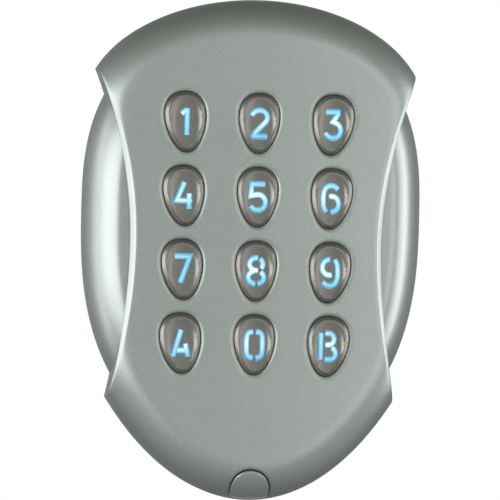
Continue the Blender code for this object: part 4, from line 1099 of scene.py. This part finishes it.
class KEYPAD_OT_keys(KeypadOperator, bpy.types.Operator):
    """Builds the twelve dished keys with slots for their figures"""

    bl_idname = "keypad.keys"
    bl_label = "Keys"

    def execute(self, context):
        for figure, column, row in keys():
            body = egg(column, row)
            dish = dish_depth(column, row)
            lip = offset(body, FLANGE_LIP)
            inner = offset(body, -KEY_RIM - DISH_EDGE)
            sections = [(lip, FLANGE_BOTTOM_DEPTH), (lip, FLANGE_TOP_DEPTH), (body, FLANGE_TOP_DEPTH)]
            sections += [(offset(body, -inward * KEY_RIM), KEY_TOP_DEPTH - drop)
                         for inward, drop in KEY_RIM_PROFILE]
            sections += [(shrunk(inner, key_centre(column, row), 1 - ring / DISH_RINGS), dish)
                         for ring in range(DISH_RINGS)]
            cap = loft("keycap_" + figure, sections)
            pocket = prism("pocket", offset(body, -KEY_WALL), FLANGE_BOTTOM_DEPTH - 1, ROOF_DEPTH)
            tools = [(pocket, "DIFFERENCE")]
            for line in figure_lines(figure, column, row):
                strip = stroke_rows(line, FIGURE_STROKE + 2 * FIGURE_GAP, FIGURE_GAP)
                points = [point for across in strip for point in across]
                outline = [points[i] for i in strip_rim(len(strip))]
                tools.append((prism("slot", outline, ROOF_DEPTH - 1, KEY_TOP_DEPTH + 1), "DIFFERENCE"))
            combine(cap, tools)
            dress(smooth(cap, 30), "dark_nickel_plated_cast_zinc", "button_" + figure, "key_" + figure)
        return {"FINISHED"}


def lit_stroke(strip, centre, dish):
    """The points, faces and brightness of one stroke of a figure, down to the guide under it."""
    points = []
    glow = []
    for across in strip:
        for (x, z), share, drop in zip(across, STROKE_GLOW, STROKE_DROP):
            away = (x - centre[0] - LAMP_X) ** 2 + (z - centre[1] - LAMP_Z) ** 2
            points.append((x, dish(x, z) - drop, z))
            glow.append(share * (GLOW_FAR + GLOW_NEAR * math.exp(-away / LAMP_SPREAD)))
    faces = []
    for r in range(len(strip) - 1):
        for here in range(5 * r, 5 * r + 4):
            faces.append([here, here + 1, here + 6, here + 5])
    rim = strip_rim(len(strip))
    count = len(rim)
    low = len(points)
    points += [(points[i][0], ROOF_DEPTH - GAP, points[i][2]) for i in rim]
    glow += [GLOW_SIDE] * count
    faces += [[rim[i], rim[(i + 1) % count], low + (i + 1) % count, low + i] for i in range(count)]
    faces.append(list(range(low, low + count)))
    return points, faces, glow


class KEYPAD_OT_figures(KeypadOperator, bpy.types.Operator):
    """Builds the lit figures and the light guides under them"""

    bl_idname = "keypad.figures"
    bl_label = "Lit figures"

    def execute(self, context):
        for figure, column, row in keys():
            points, faces, glow = [], [], []
            for line in figure_lines(figure, column, row):
                strip = stroke_rows(line, FIGURE_STROKE, 0.0)
                stroke = lit_stroke(strip, key_centre(column, row), dish_depth(column, row))
                faces += [[len(points) + i for i in face] for face in stroke[1]]
                points += stroke[0]
                glow += stroke[2]
            guide = offset(egg(column, row), -KEY_WALL - GAP / 2)
            faces += prism_faces(len(guide), len(points))
            for depth in (FLANGE_BOTTOM_DEPTH, ROOF_DEPTH - GAP / 2):
                points += [(x, depth, z) for x, z in guide]
                glow += [GLOW_GUIDE] * len(guide)
            legend = solid("figure_" + figure, points, faces)
            layer = legend.data.attributes.new("glow", "FLOAT", "POINT")
            layer.data.foreach_set("value", glow)
            dress(smooth(legend, 40), "frosted_polycarbonate_lit_from_behind", "button_" + figure,
                  "legend_" + figure)
        return {"FINISHED"}


class KEYPAD_OT_screw_cap(KeypadOperator, bpy.types.Operator):
    """Builds the half-moon cap over the lock screw, and the screw"""

    bl_idname = "keypad.screw_cap"
    bl_label = "Screw cap and lock screw"

    def execute(self, context):
        outline = circle(0.0, CAP_Z, CAP_RADIUS, 96)
        inner = offset(outline, -0.9)
        lowest = CAP_SEAT_DEPTH + GAP + 1.5
        sections = [(outline, CAP_SEAT_DEPTH + GAP)]
        sections += [(offset(outline, -inward), under_face(lowest, drop))
                     for inward, drop in ((0.0, 0.75), (0.1, 0.48), (0.35, 0.26), (0.7, 0.16))]
        sections += [(shrunk(inner, (0.0, CAP_Z), 1 - ring / CAP_RINGS), under_face(lowest, 0.15))
                     for ring in range(CAP_RINGS)]
        cap = loft("lock_screw_cap", sections)
        stem = pin("stem", 0.0, LOCK_SCREW_Z, [
            (2.4, CAP_SEAT_DEPTH - CAP_STEM), (2.8, CAP_SEAT_DEPTH - 0.6), (2.8, CAP_SEAT_DEPTH + 1.0)])
        combine(cap, [(cover_solid("limit", 0.1, COVER_RIM_DEPTH, 48, 96), "INTERSECT"), (stem, "UNION")])
        dress(smooth(cap), "pigmented_moulded_rubber_cap", "cap", "screw_cap")
        top = LOCK_SEAT_DEPTH + LOCK_SCREW_HEAD_TALL
        lock = pin("lock_screw_bolt", 0.0, LOCK_SCREW_Z, [
            (0.9, PLATE_THICKNESS + 1.25), (LOCK_SCREW_RADIUS, PLATE_THICKNESS + 1.7),
            (LOCK_SCREW_RADIUS, LOCK_SEAT_DEPTH), (LOCK_SCREW_HEAD, LOCK_SEAT_DEPTH),
            (LOCK_SCREW_HEAD, top - 0.4), (LOCK_SCREW_HEAD - 0.12, top - 0.12),
            (LOCK_SCREW_HEAD - 0.4, top)], 48)
        socket = prism("socket", circle(0.0, LOCK_SCREW_Z, LOCK_SCREW_SOCKET, 6), top - 1.6, top + 1.0)
        combine(lock, [(socket, "DIFFERENCE")])
        dress(smooth(lock), "passivated_screw_steel", "lock_screw", "security_screw")
        return {"FINISHED"}


class KEYPAD_OT_mat(KeypadOperator, bpy.types.Operator):
    """Builds the silicone mat with a hollow dome under each key"""

    bl_idname = "keypad.mat"
    bl_label = "Keypad mat"

    def execute(self, context):
        outline = rectangle(-MAT_HALF_WIDTH, MAT_HALF_WIDTH, mat_bottom(), mat_top(), MAT_CORNER)
        mat = prism("silicone_mat", outline, MAT_BACK_DEPTH, MAT_TOP_DEPTH)
        top = MAT_TOP_DEPTH + DOME_RISE
        dome = [(DOME_RADIUS, MAT_TOP_DEPTH - 0.3), (DOME_RADIUS, MAT_TOP_DEPTH + 0.12),
                (3.95, MAT_TOP_DEPTH + 0.3), (3.05, top - 0.2), (2.9, top - 0.05), (2.75, top)]
        hollow = [(3.5, MAT_BACK_DEPTH - 1), (3.5, MAT_BACK_DEPTH + 0.5), (2.5, top - DOME_WALL)]
        centres = [key_centre(column, row) for _, column, row in keys()]
        domes = [pin("dome", x, z, dome) for x, z in centres]
        holes = [pin("hollow", x, z, hollow) for x, z in centres]
        holes += rods("hole", board_boss_places(), BOARD_BOSS_RADIUS + GAP, MAT_BACK_DEPTH - 1,
                      MAT_TOP_DEPTH + 1)
        combine(mat, [(joined("domes", domes), "UNION"), (joined("holes", holes), "DIFFERENCE")])
        dress(smooth(mat), "translucent_moulded_silicone", "housing", "keypad_mat")
        return {"FINISHED"}


class KEYPAD_OT_board(KeypadOperator, bpy.types.Operator):
    """Builds the circuit board with its diodes, chip resistors and solder joints"""

    bl_idname = "keypad.board"
    bl_label = "Circuit board"

    def execute(self, context):
        half = MAT_HALF_WIDTH + BOARD_MARGIN
        outline = rectangle(-half, half, mat_bottom() - BOARD_MARGIN, mat_top() + BOARD_MARGIN, MAT_CORNER)
        board = prism("laminate_board", outline, BOARD_BACK_DEPTH, BOARD_FRONT_DEPTH)
        holes = rods("hole", board_boss_places(), BOARD_SCREW_RADIUS + 0.2, BOARD_BACK_DEPTH - 1,
                     BOARD_FRONT_DEPTH + 1, 32)
        combine(board, [(joined("holes", holes), "DIFFERENCE")])
        dress(break_edges(board, BROKEN_EDGE), "green_solder_mask_on_glass_laminate", "housing",
              "circuit_board")
        base = box(0.0, 0.0, 3.2, 1.6, 0.1)
        diode = loft("diode", [(base, 0.0), (base, 0.5), (box(0.0, 0.0, 2.4, 1.6, 0.1), 0.55),
                               (box(0.0, 0.0, 2.3, 1.5, 0.1), 1.0)])
        places = []
        for _, column, row in keys():
            x, z = key_centre(column, row)
            places.append((x, BOARD_FRONT_DEPTH + SOLDER_GAP, z))
        dress(smooth(spread("diodes", places, diode)), "moulded_white_diode_resin", "housing",
              *("led_" + figure for figure, _, _ in keys()))
        chip = joined("chip", [prism("body", box(0.0, 0.0, 1.1, 0.8, 0.05), -0.45, 0.0)] + [
            prism("end", box(x, 0.0, 0.22, 0.82, 0.04), -0.47, 0.0) for x in (-0.69, 0.69)])
        places = [(x, PARTS_DEPTH, z) for x in RESISTOR_COLUMNS for z in RESISTOR_ROWS]
        dress(smooth(spread("resistors", places, chip)), "glazed_black_ceramic", "housing")
        joint = pin("joint", 0.0, 0.0, [(0.95, 0.0), (0.8, 0.08), (0.5, 0.16), (0.32, 0.26)], 24)
        feet = [(x, BOARD_FRONT_DEPTH, terminal_top() - TERMINAL_HEIGHT / 2) for x in way_places()]
        feet += [(side * RELAY_X + x, BOARD_FRONT_DEPTH, RELAY_Z + z) for side in (-1, 1)
                 for x, z in RELAY_PINS]
        dress(smooth(spread("solder_joints", feet, joint)), "tin_solder", "housing")
        return {"FINISHED"}


def relays():
    """The two relays, their ends recessed and their feet narrowed."""
    end = PLATE_THICKNESS + RELAY_CLEARANCE
    for side, name in ((-1, "left"), (1, "right")):
        case = box(side * RELAY_X, RELAY_Z, RELAY_WIDTH, RELAY_HEIGHT, 0.5)
        relay = loft("relay_case_" + name, [
            (offset(case, -1.5), end + 0.35), (offset(case, -1.6), end), (offset(case, -0.7), end),
            (offset(case, -0.2), end + 0.15), (case, end + 0.6), (case, PARTS_DEPTH - 1.2),
            (offset(case, -0.15), PARTS_DEPTH - 1.1), (offset(case, -0.15), PARTS_DEPTH)])
        dress(smooth(relay), "blue_moulded_relay_case", "housing", "relay_" + name)


def terminals():
    """The terminal block with its wire mouths, grooves and clamping screws."""
    top = terminal_top()
    back = PARTS_DEPTH - TERMINAL_TALL
    middle = PARTS_DEPTH - TERMINAL_TALL / 2
    screw_z = top - TERMINAL_SCREW_DROP
    half = TERMINAL_WAYS * TERMINAL_PITCH / 2
    block = prism("terminals", rectangle(-half, half, top - TERMINAL_HEIGHT, top), back, PARTS_DEPTH)
    ways = []
    for x in way_places():
        mouth = rectangle(x - TERMINAL_MOUTH / 2, x + TERMINAL_MOUTH / 2, top - TERMINAL_MOUTH, top + 1.0)
        ways.append(prism("way", mouth, middle, middle + TERMINAL_MOUTH))
        ways.append(pin("drive", x, screw_z, [(TERMINAL_SCREW_RADIUS, back - 1.0),
                                              (TERMINAL_SCREW_RADIUS, back + 1.5)]))
    low = top - TERMINAL_HEIGHT
    for x in way_places()[1:]:
        groove = rectangle(x - TERMINAL_PITCH / 2 - 0.2, x - TERMINAL_PITCH / 2 + 0.2, low - 1.0, low + 0.5)
        ways.append(prism("groove", groove, back - 0.5, PARTS_DEPTH - 1.0))
    combine(block, [(joined("ways", ways), "DIFFERENCE")])
    dress(break_edges(block, BROKEN_EDGE), "green_moulded_terminal_plastic", "housing", "terminal_block")
    head = pin("head", 0.0, 0.0, [(1.15, -0.9), (1.25, -0.8), (1.25, 0.0)], 32)
    combine(head, [(prism("drive", box(0.0, 0.0, 0.44, 2.8), -1.0, -0.45), "DIFFERENCE")])
    screws = spread("terminal_screws", [(x, back + 1.45, screw_z) for x in way_places()], head)
    dress(smooth(screws), "passivated_screw_steel", "housing")


def sounder():
    """The buzzer's can with its sound hole."""
    low = PARTS_DEPTH - BUZZER_TALL
    can = pin("sounder", BUZZER_X, BUZZER_Z, [
        (BUZZER_RADIUS - 1.0, low + 0.2), (BUZZER_RADIUS - 0.9, low), (BUZZER_RADIUS - 0.4, low),
        (BUZZER_RADIUS - 0.1, low + 0.12), (BUZZER_RADIUS, low + 0.4), (BUZZER_RADIUS, PARTS_DEPTH - 1.0),
        (BUZZER_RADIUS - 0.15, PARTS_DEPTH - 0.9), (BUZZER_RADIUS - 0.15, PARTS_DEPTH)], 96)
    hole = pin("sound_hole", BUZZER_X, BUZZER_Z, [(1.1, low - 1.0), (1.1, low + 1.5)])
    combine(can, [(hole, "DIFFERENCE")])
    dress(smooth(can), "black_moulded_plastic", "housing", "buzzer")


def controller():
    """The controller with a dimple at its first pin, and its bent leads."""
    body = box(CHIP_X, 0.0, CHIP_SIDE, CHIP_SIDE, 0.25)
    chip = loft("controller", [(offset(body, -0.2), PARTS_DEPTH - CHIP_TALL), (body, PARTS_DEPTH - 0.6),
                               (offset(body, -0.15), PARTS_DEPTH)])
    mark = pin("mark", CHIP_X + 3.6, 3.6, [(0.5, PARTS_DEPTH - 2.0), (0.5, PARTS_DEPTH - CHIP_TALL + 0.08)])
    combine(chip, [(mark, "DIFFERENCE")])
    dress(smooth(chip), "black_moulded_plastic", "housing", "microcontroller")
    steps = [LEAD_PITCH * (i - (LEADS_A_SIDE - 1) / 2) for i in range(LEADS_A_SIDE)]
    rows = (("side", 0.0, [(CHIP_X, PARTS_DEPTH, step) for step in steps]),
            ("end", math.pi / 2, [(CHIP_X + step, PARTS_DEPTH, 0.0) for step in steps]))
    for name, turn, places in rows:
        legs = [solid("leg", [(side * x, d, z) for z in (-0.16, 0.16) for x, d in LEAD_PROFILE],
                      prism_faces(len(LEAD_PROFILE))) for side in (-1, 1)]
        dress(smooth(spread("leads_" + name, places, joined("lead", legs), turn)), "tin_solder", "housing")


def tamper_switch():
    """The tamper switch's case and the plunger that rests on the wall plate."""
    back = PARTS_DEPTH - SWITCH_TALL
    case = prism("switch_case", box(SWITCH_X, SWITCH_Z, SWITCH_SIDE, SWITCH_SIDE, 0.2), back, PARTS_DEPTH)
    bore = PLUNGER_RADIUS + RUNNING_GAP
    hole = pin("bore", SWITCH_X, SWITCH_Z, [(bore, back - 1.0), (bore, PARTS_DEPTH - SWITCH_ROOF)])
    combine(case, [(hole, "DIFFERENCE")])
    dress(break_edges(case, BROKEN_EDGE), "black_moulded_plastic", "housing", "tamper_switch")
    rest = PLATE_THICKNESS + GAP
    plunger = pin("plunger_rod", SWITCH_X, SWITCH_Z, [
        (0.5, rest), (0.9, rest + 0.05), (1.2, rest + 0.2), (1.36, rest + 0.42),
        (PLUNGER_RADIUS, rest + 0.7), (PLUNGER_RADIUS, PARTS_DEPTH - SWITCH_ROOF - GAP)], 48)
    dress(smooth(plunger), "red_moulded_plunger_plastic", "plunger", "tamper_plunger")


class KEYPAD_OT_board_parts(KeypadOperator, bpy.types.Operator):
    """Builds what is soldered behind the board: relays, terminals, buzzer, controller and tamper switch"""

    bl_idname = "keypad.board_parts"
    bl_label = "Parts behind the board"

    def execute(self, context):
        relays()
        terminals()
        sounder()
        controller()
        tamper_switch()
        return {"FINISHED"}


def driven_screw(head, head_tall, radius, reach):
    """A screw driven from behind at the origin: pan head, cross recess and a thread up to its point."""
    root = radius * 0.82
    steps = [(head * 0.55, -head_tall), (head * 0.85, -head_tall + 0.12), (head - 0.1, -head_tall * 0.6),
             (head, -head_tall * 0.35), (head, 0.0), (root, 0.0)]
    for i in range(int(reach / THREAD_PITCH) - 1):
        start = THREAD_PITCH * i
        steps += [(root, start + 0.12), (radius, start + 0.27), (root, start + 0.42)]
    steps += [(root, reach - 0.35), (radius * 0.5, reach)]
    made = pin("screw", 0.0, 0.0, steps, 48)
    arm, half = head * 0.55, head * 0.11
    cross = [(arm, -half), (arm, half), (half, half), (half, arm), (-half, arm), (-half, half), (-arm, half),
             (-arm, -half), (-half, -half), (-half, -arm), (half, -arm), (half, -half)]
    recess = loft("recess", [(cross, -head_tall - 1.0), (cross, -head_tall),
                             (shrunk(cross, (0.0, 0.0), 0.6), -head_tall * 0.35)])
    return combine(made, [(recess, "DIFFERENCE")])


class KEYPAD_OT_screws(KeypadOperator, bpy.types.Operator):
    """Builds the screws that hold the shell and the board to the cover"""

    bl_idname = "keypad.screws"
    bl_label = "Screws"

    def execute(self, context):
        seat = SHELL_FACE_DEPTH - SHELL_WALL - 2 * GAP
        places = [(x, seat, z) for x, z in cover_post_places()]
        screw = driven_screw(COVER_SCREW_HEAD, COVER_SCREW_HEAD_TALL, COVER_SCREW_RADIUS, COVER_SCREW_GRIP)
        dress(smooth(spread("case_screws", places, screw, 0.4)), "passivated_screw_steel", "housing",
              *(f"cover_screw_{i}" for i in range(1, 5)))
        reach = BOARD_FRONT_DEPTH + GAP + BOARD_SCREW_GRIP - PARTS_DEPTH
        places = [(x, PARTS_DEPTH, z) for x, z in board_boss_places()]
        screw = driven_screw(BOARD_SCREW_HEAD, BOARD_SCREW_HEAD_TALL, BOARD_SCREW_RADIUS, reach)
        dress(smooth(spread("small_screws", places, screw, 0.7)), "passivated_screw_steel", "housing",
              *(f"board_screw_{i}" for i in range(1, 5)))
        return {"FINISHED"}


def hooks():
    """The two hooks bent out of the plate, that the shell's bar hangs on."""
    low = HINGE_Z - HINGE_BAR_RADIUS - GAP - HOOK_THICKNESS
    high = HINGE_Z + HINGE_BAR_RADIUS / 2
    lip = HINGE_DEPTH + HINGE_BAR_RADIUS + RUNNING_GAP
    turns = [math.pi / 12 * i for i in range(7)]
    profile = [(1.0, low)]
    profile += [(lip + HOOK_THICKNESS - HOOK_BEND * (1 - math.sin(t)), low + HOOK_BEND * (1 - math.cos(t)))
                for t in turns]
    profile += [(lip + HOOK_THICKNESS, high), (lip, high), (lip, low + HOOK_THICKNESS),
                (1.0, low + HOOK_THICKNESS)]
    return [(along("hook", side * HOOK_X - HOOK_WIDTH / 2, side * HOOK_X + HOOK_WIDTH / 2, profile), "UNION")
            for side in (-1, 1)]


def plate_holes():
    """The plate's holes: for the lock screw, the wall screws and the cable's seal."""
    lock = LOCK_SCREW_RADIUS + RUNNING_GAP
    cable = CABLE_BORE_RADIUS + GROMMET_WALL + GAP
    sunk = WALL_SCREW_RADIUS + WALL_SCREW_SINK
    wall = [(WALL_SCREW_RADIUS, -1.0), (WALL_SCREW_RADIUS, PLATE_THICKNESS - WALL_SCREW_SINK),
            (sunk, PLATE_THICKNESS + 0.01), (sunk, PLATE_THICKNESS + 1.0)]
    holes = rods("hole", [(0.0, LOCK_SCREW_Z)], lock, PLATE_THICKNESS, LOCK_POST_DEPTH + 1.0)
    holes += [pin("hole", x, z, wall, 48) for x in (-WALL_SCREW_X, WALL_SCREW_X)
              for z in (-WALL_SCREW_Z, WALL_SCREW_Z)]
    holes += rods("hole", [(0.0, CABLE_HOLE_Z)], cable, -1.0, PLATE_THICKNESS + 1.0, 96)
    return joined("holes", holes)


class KEYPAD_OT_wall_side(KeypadOperator, bpy.types.Operator):
    """Builds the wall plate with its hooks, post and tongue, the gasket and the cable grommet"""

    bl_idname = "keypad.wall_side"
    bl_label = "Wall plate and seals"

    def execute(self, context):
        shape = context.scene.keypad_shape
        plate = prism("mounting_plate", shell_outline(PLATE_INSET, shape.shell_sides), 0.0, PLATE_THICKNESS)
        tongue = rectangle(-TONGUE_HALF_WIDTH, TONGUE_HALF_WIDTH, LOCK_SCREW_Z - 3.0,
                           SHELL_Z - SHELL_BOTTOM_RISE + 2 * PLATE_INSET)
        post = [(LOCK_POST_RADIUS, 1.0), (LOCK_POST_RADIUS, LOCK_POST_DEPTH - 0.3),
                (LOCK_POST_RADIUS - 0.2, LOCK_POST_DEPTH)]
        combine(plate, hooks() + [
            (prism("tongue", tongue, TONGUE_THIN, PLATE_THICKNESS - TONGUE_THIN), "UNION"),
            (pin("post", 0.0, LOCK_SCREW_Z, post), "UNION"), (plate_holes(), "DIFFERENCE")])
        dress(break_edges(plate, shape.edge_round), "zinc_plated_sheet_steel", "wall_plate", "back_plate")
        gasket = prism("rim_gasket", shell_outline(GAP, shape.shell_sides), 0.0, GASKET_THICKNESS)
        middle = shell_outline(GAP + GASKET_WIDTH, shape.shell_sides)
        open_end = rectangle(-TONGUE_HALF_WIDTH - GAP, TONGUE_HALF_WIDTH + GAP, COVER_BOTTOM,
                             COVER_BOTTOM + GASKET_OPENING)
        combine(gasket, [(prism(name, outline, -1.0, GASKET_THICKNESS + 1.0), "DIFFERENCE")
                         for name, outline in (("middle", middle), ("break", open_end))])
        dress(break_edges(gasket, BROKEN_EDGE), "black_moulded_seal_rubber", "wall_plate", "housing_gasket")
        outer = CABLE_BORE_RADIUS + GROMMET_WALL
        lip = outer + GROMMET_LIP
        shelf = PLATE_THICKNESS + GAP
        grommet = turned("cable_seal", 0.0, CABLE_HOLE_Z, [
            (CABLE_BORE_RADIUS + 0.15, 0.2), (outer - 0.2, 0.2), (outer, 0.4), (outer, shelf),
            (lip - 0.1, shelf), (lip, shelf + 0.15), (lip, shelf + 0.8), (lip - 0.2, shelf + 1.25),
            (lip - 0.6, shelf + GROMMET_TALL), (CABLE_BORE_RADIUS + 0.25, shelf + GROMMET_TALL),
            (CABLE_BORE_RADIUS, shelf + GROMMET_TALL - 0.2), (CABLE_BORE_RADIUS, 0.35)], 96)
        dress(smooth(grommet), "black_moulded_seal_rubber", "wall_plate", "cable_grommet")
        return {"FINISHED"}


def looking(place, aim, roll):
    """The matrix that points an object's -Z from one place at another, turned about that line."""
    turn = (aim - place).to_track_quat("-Z", "Y").to_matrix().to_4x4()
    return Matrix.Translation(place) @ turn @ Matrix.Rotation(roll, 4, "Z")


def make_floor():
    """A round sheet of white paper a little below the keypad."""
    floor = pin("floor", 0.0, 0.0, [(1500.0, -4.0), (1500.0, 0.0)], 128)
    floor.data.transform(Matrix.Translation((0.0, -0.3, FLOOR_Z)) @ Matrix.Rotation(math.pi / 2, 4, "X"))
    paper, _, _ = new_material("matt_white_paper", {"Base Color": linear("#ECECEA"), "Roughness": 0.9})
    floor.data.materials.append(paper)
    floor.visible_glossy = False


def make_room(scene):
    """Grey walls for the reflections, darker behind the keypad, that the camera sees as white."""
    world = bpy.data.worlds.new("studio")
    scene.world = world
    world.use_nodes = True
    tree = world.node_tree
    tree.nodes.clear()
    where = add_node(tree, "ShaderNodeTexCoord")
    parts = add_node(tree, "ShaderNodeSeparateXYZ", {}, {"Vector": (where, "Generated")})
    height = add_node(tree, "ShaderNodeMapRange", {"From Min": -1.0, "From Max": 1.0},
                      {"Value": (parts, "Z")})
    wall = ramp(tree, height, "Result", ROOM)
    back = add_node(tree, "ShaderNodeMapRange", {"From Min": -0.1, "From Max": 0.75, "To Min": 1.0,
                                                 "To Max": 0.36}, {"Value": (parts, "Y")})
    room = add_node(tree, "ShaderNodeBackground", {}, {"Color": (wall, "Color"),
                                                       "Strength": (back, "Result")})
    white = add_node(tree, "ShaderNodeBackground", {"Color": (1, 1, 1, 1), "Strength": 1.0})
    ray = add_node(tree, "ShaderNodeLightPath")
    seen = add_node(tree, "ShaderNodeMixShader", {}, {0: (ray, "Is Camera Ray"), 1: (room, "Background"),
                                                      2: (white, "Background")})
    add_node(tree, "ShaderNodeOutputWorld", {}, {"Surface": (seen, "Shader")})


def make_lights(scene):
    """The studio's rectangular lights, unseen by the camera."""
    for name, side, width, tall, radiance in LIGHTS:
        light = bpy.data.lights.new(name, "AREA")
        light.shape = "RECTANGLE"
        light.size, light.size_y = width, tall
        light.energy = radiance * math.pi * width * tall
        lamp = bpy.data.objects.new(name, light)
        scene.collection.objects.link(lamp)
        turn = math.radians(side)
        place = Vector((math.sin(turn), -math.cos(turn), 0.0))
        lamp.matrix_world = looking(place, Vector((0.0, -0.02, 0.0)), 0.0)
        lamp.visible_camera = False


def make_camera(scene):
    """The camera, far enough off to frame the keypad with little perspective."""
    camera = bpy.data.cameras.new("camera")
    camera.sensor_width = 36.0
    camera.lens = 36.0 * CAMERA_DISTANCE / FRAMED_WIDTH
    camera.clip_start = 0.05
    seat = bpy.data.objects.new("camera", camera)
    scene.collection.objects.link(seat)
    aim = Vector(CAMERA_AIM)
    turn = math.radians(CAMERA_SIDE)
    place = aim + Vector((math.sin(turn), -math.cos(turn), 0.0)) * CAMERA_DISTANCE
    seat.matrix_world = looking(place, aim, math.radians(CAMERA_ROLL))
    scene.camera = seat


class KEYPAD_OT_stage(KeypadOperator, bpy.types.Operator):
    """Sets up the floor, the studio light and the camera"""

    bl_idname = "keypad.stage"
    bl_label = "Stage"

    def execute(self, context):
        make_floor()
        make_room(context.scene)
        make_lights(context.scene)
        make_camera(context.scene)
        context.scene.view_settings.view_transform = "Standard"
        return {"FINISHED"}


class KEYPAD_OT_materials(KeypadOperator, bpy.types.Operator):
    """Makes the keypad's materials"""

    bl_idname = "keypad.materials"
    bl_label = "Materials"

    def execute(self, context):
        satin_metallic_paint()
        plated_key_metal()
        lit_light_guide()
        cap_elastomer()
        zinc_plated_sheet()
        screw_steel()
        tin_solder()
        # Silicone is smooth and a little waxy; ceramic and solder mask are glossier than the moulded cases.
        plastic("translucent_moulded_silicone", "#CFD2CC", 0.5, 1.43, 0.6, 0.03)
        plastic("green_solder_mask_on_glass_laminate", "#1B5A36", 0.32, 1.52, 1.2, 0.12)
        plastic("moulded_white_diode_resin", "#ECECE2", 0.38)
        plastic("glazed_black_ceramic", "#1C1D20", 0.25)
        plastic("black_moulded_plastic", "#1B1B1C", 0.46)
        plastic("blue_moulded_relay_case", "#24507F", 0.4)
        plastic("green_moulded_terminal_plastic", "#2F8A56", 0.45)
        plastic("red_moulded_plunger_plastic", "#B93A30", 0.42)
        # Spark-eroded rubber takes no highlight to speak of.
        plastic("black_moulded_seal_rubber", "#202120", 0.78, 1.5, 0.4, 0.08)
        return {"FINISHED"}


class KEYPAD_PT_panel(bpy.types.Panel):
    """The keypad's sizes, colours and operators."""

    bl_label = "Keypad"
    bl_idname = "KEYPAD_PT_panel"
    bl_space_type = "VIEW_3D"
    bl_region_type = "UI"
    bl_category = "Keypad"

    def draw(self, context):
        layout = self.layout
        for group in (context.scene.keypad_finishes, context.scene.keypad_shape):
            box = layout.box()
            for name in group.bl_rna.properties.keys():
                if name not in ("rna_type", "name"):
                    box.prop(group, name)
        for operator in OPERATORS:
            layout.operator(operator.bl_idname)


OPERATORS = (KEYPAD_OT_materials, KEYPAD_OT_stage, KEYPAD_OT_cover, KEYPAD_OT_shell, KEYPAD_OT_keys,
             KEYPAD_OT_figures, KEYPAD_OT_screw_cap, KEYPAD_OT_mat, KEYPAD_OT_board, KEYPAD_OT_board_parts,
             KEYPAD_OT_screws, KEYPAD_OT_wall_side)
CLASSES = (KeypadFinishes, KeypadShape) + OPERATORS + (KEYPAD_PT_panel,)


def register():
    """Adds the classes and the scene's settings."""
    for item in CLASSES:
        bpy.utils.register_class(item)
    bpy.types.Scene.keypad_finishes = PointerProperty(type=KeypadFinishes)
    bpy.types.Scene.keypad_shape = PointerProperty(type=KeypadShape)


def unregister():
    """Takes them away again."""
    del bpy.types.Scene.keypad_shape
    del bpy.types.Scene.keypad_finishes
    for item in reversed(CLASSES):
        bpy.utils.unregister_class(item)


def main():
    """Builds every piece in order."""
    register()
    bpy.ops.keypad.materials()
    bpy.ops.keypad.stage()
    bpy.ops.keypad.cover()
    bpy.ops.keypad.shell()
    bpy.ops.keypad.keys()
    bpy.ops.keypad.figures()
    bpy.ops.keypad.screw_cap()
    bpy.ops.keypad.mat()
    bpy.ops.keypad.board()
    bpy.ops.keypad.board_parts()
    bpy.ops.keypad.screws()
    bpy.ops.keypad.wall_side()


if __name__ == "__main__":
    main()
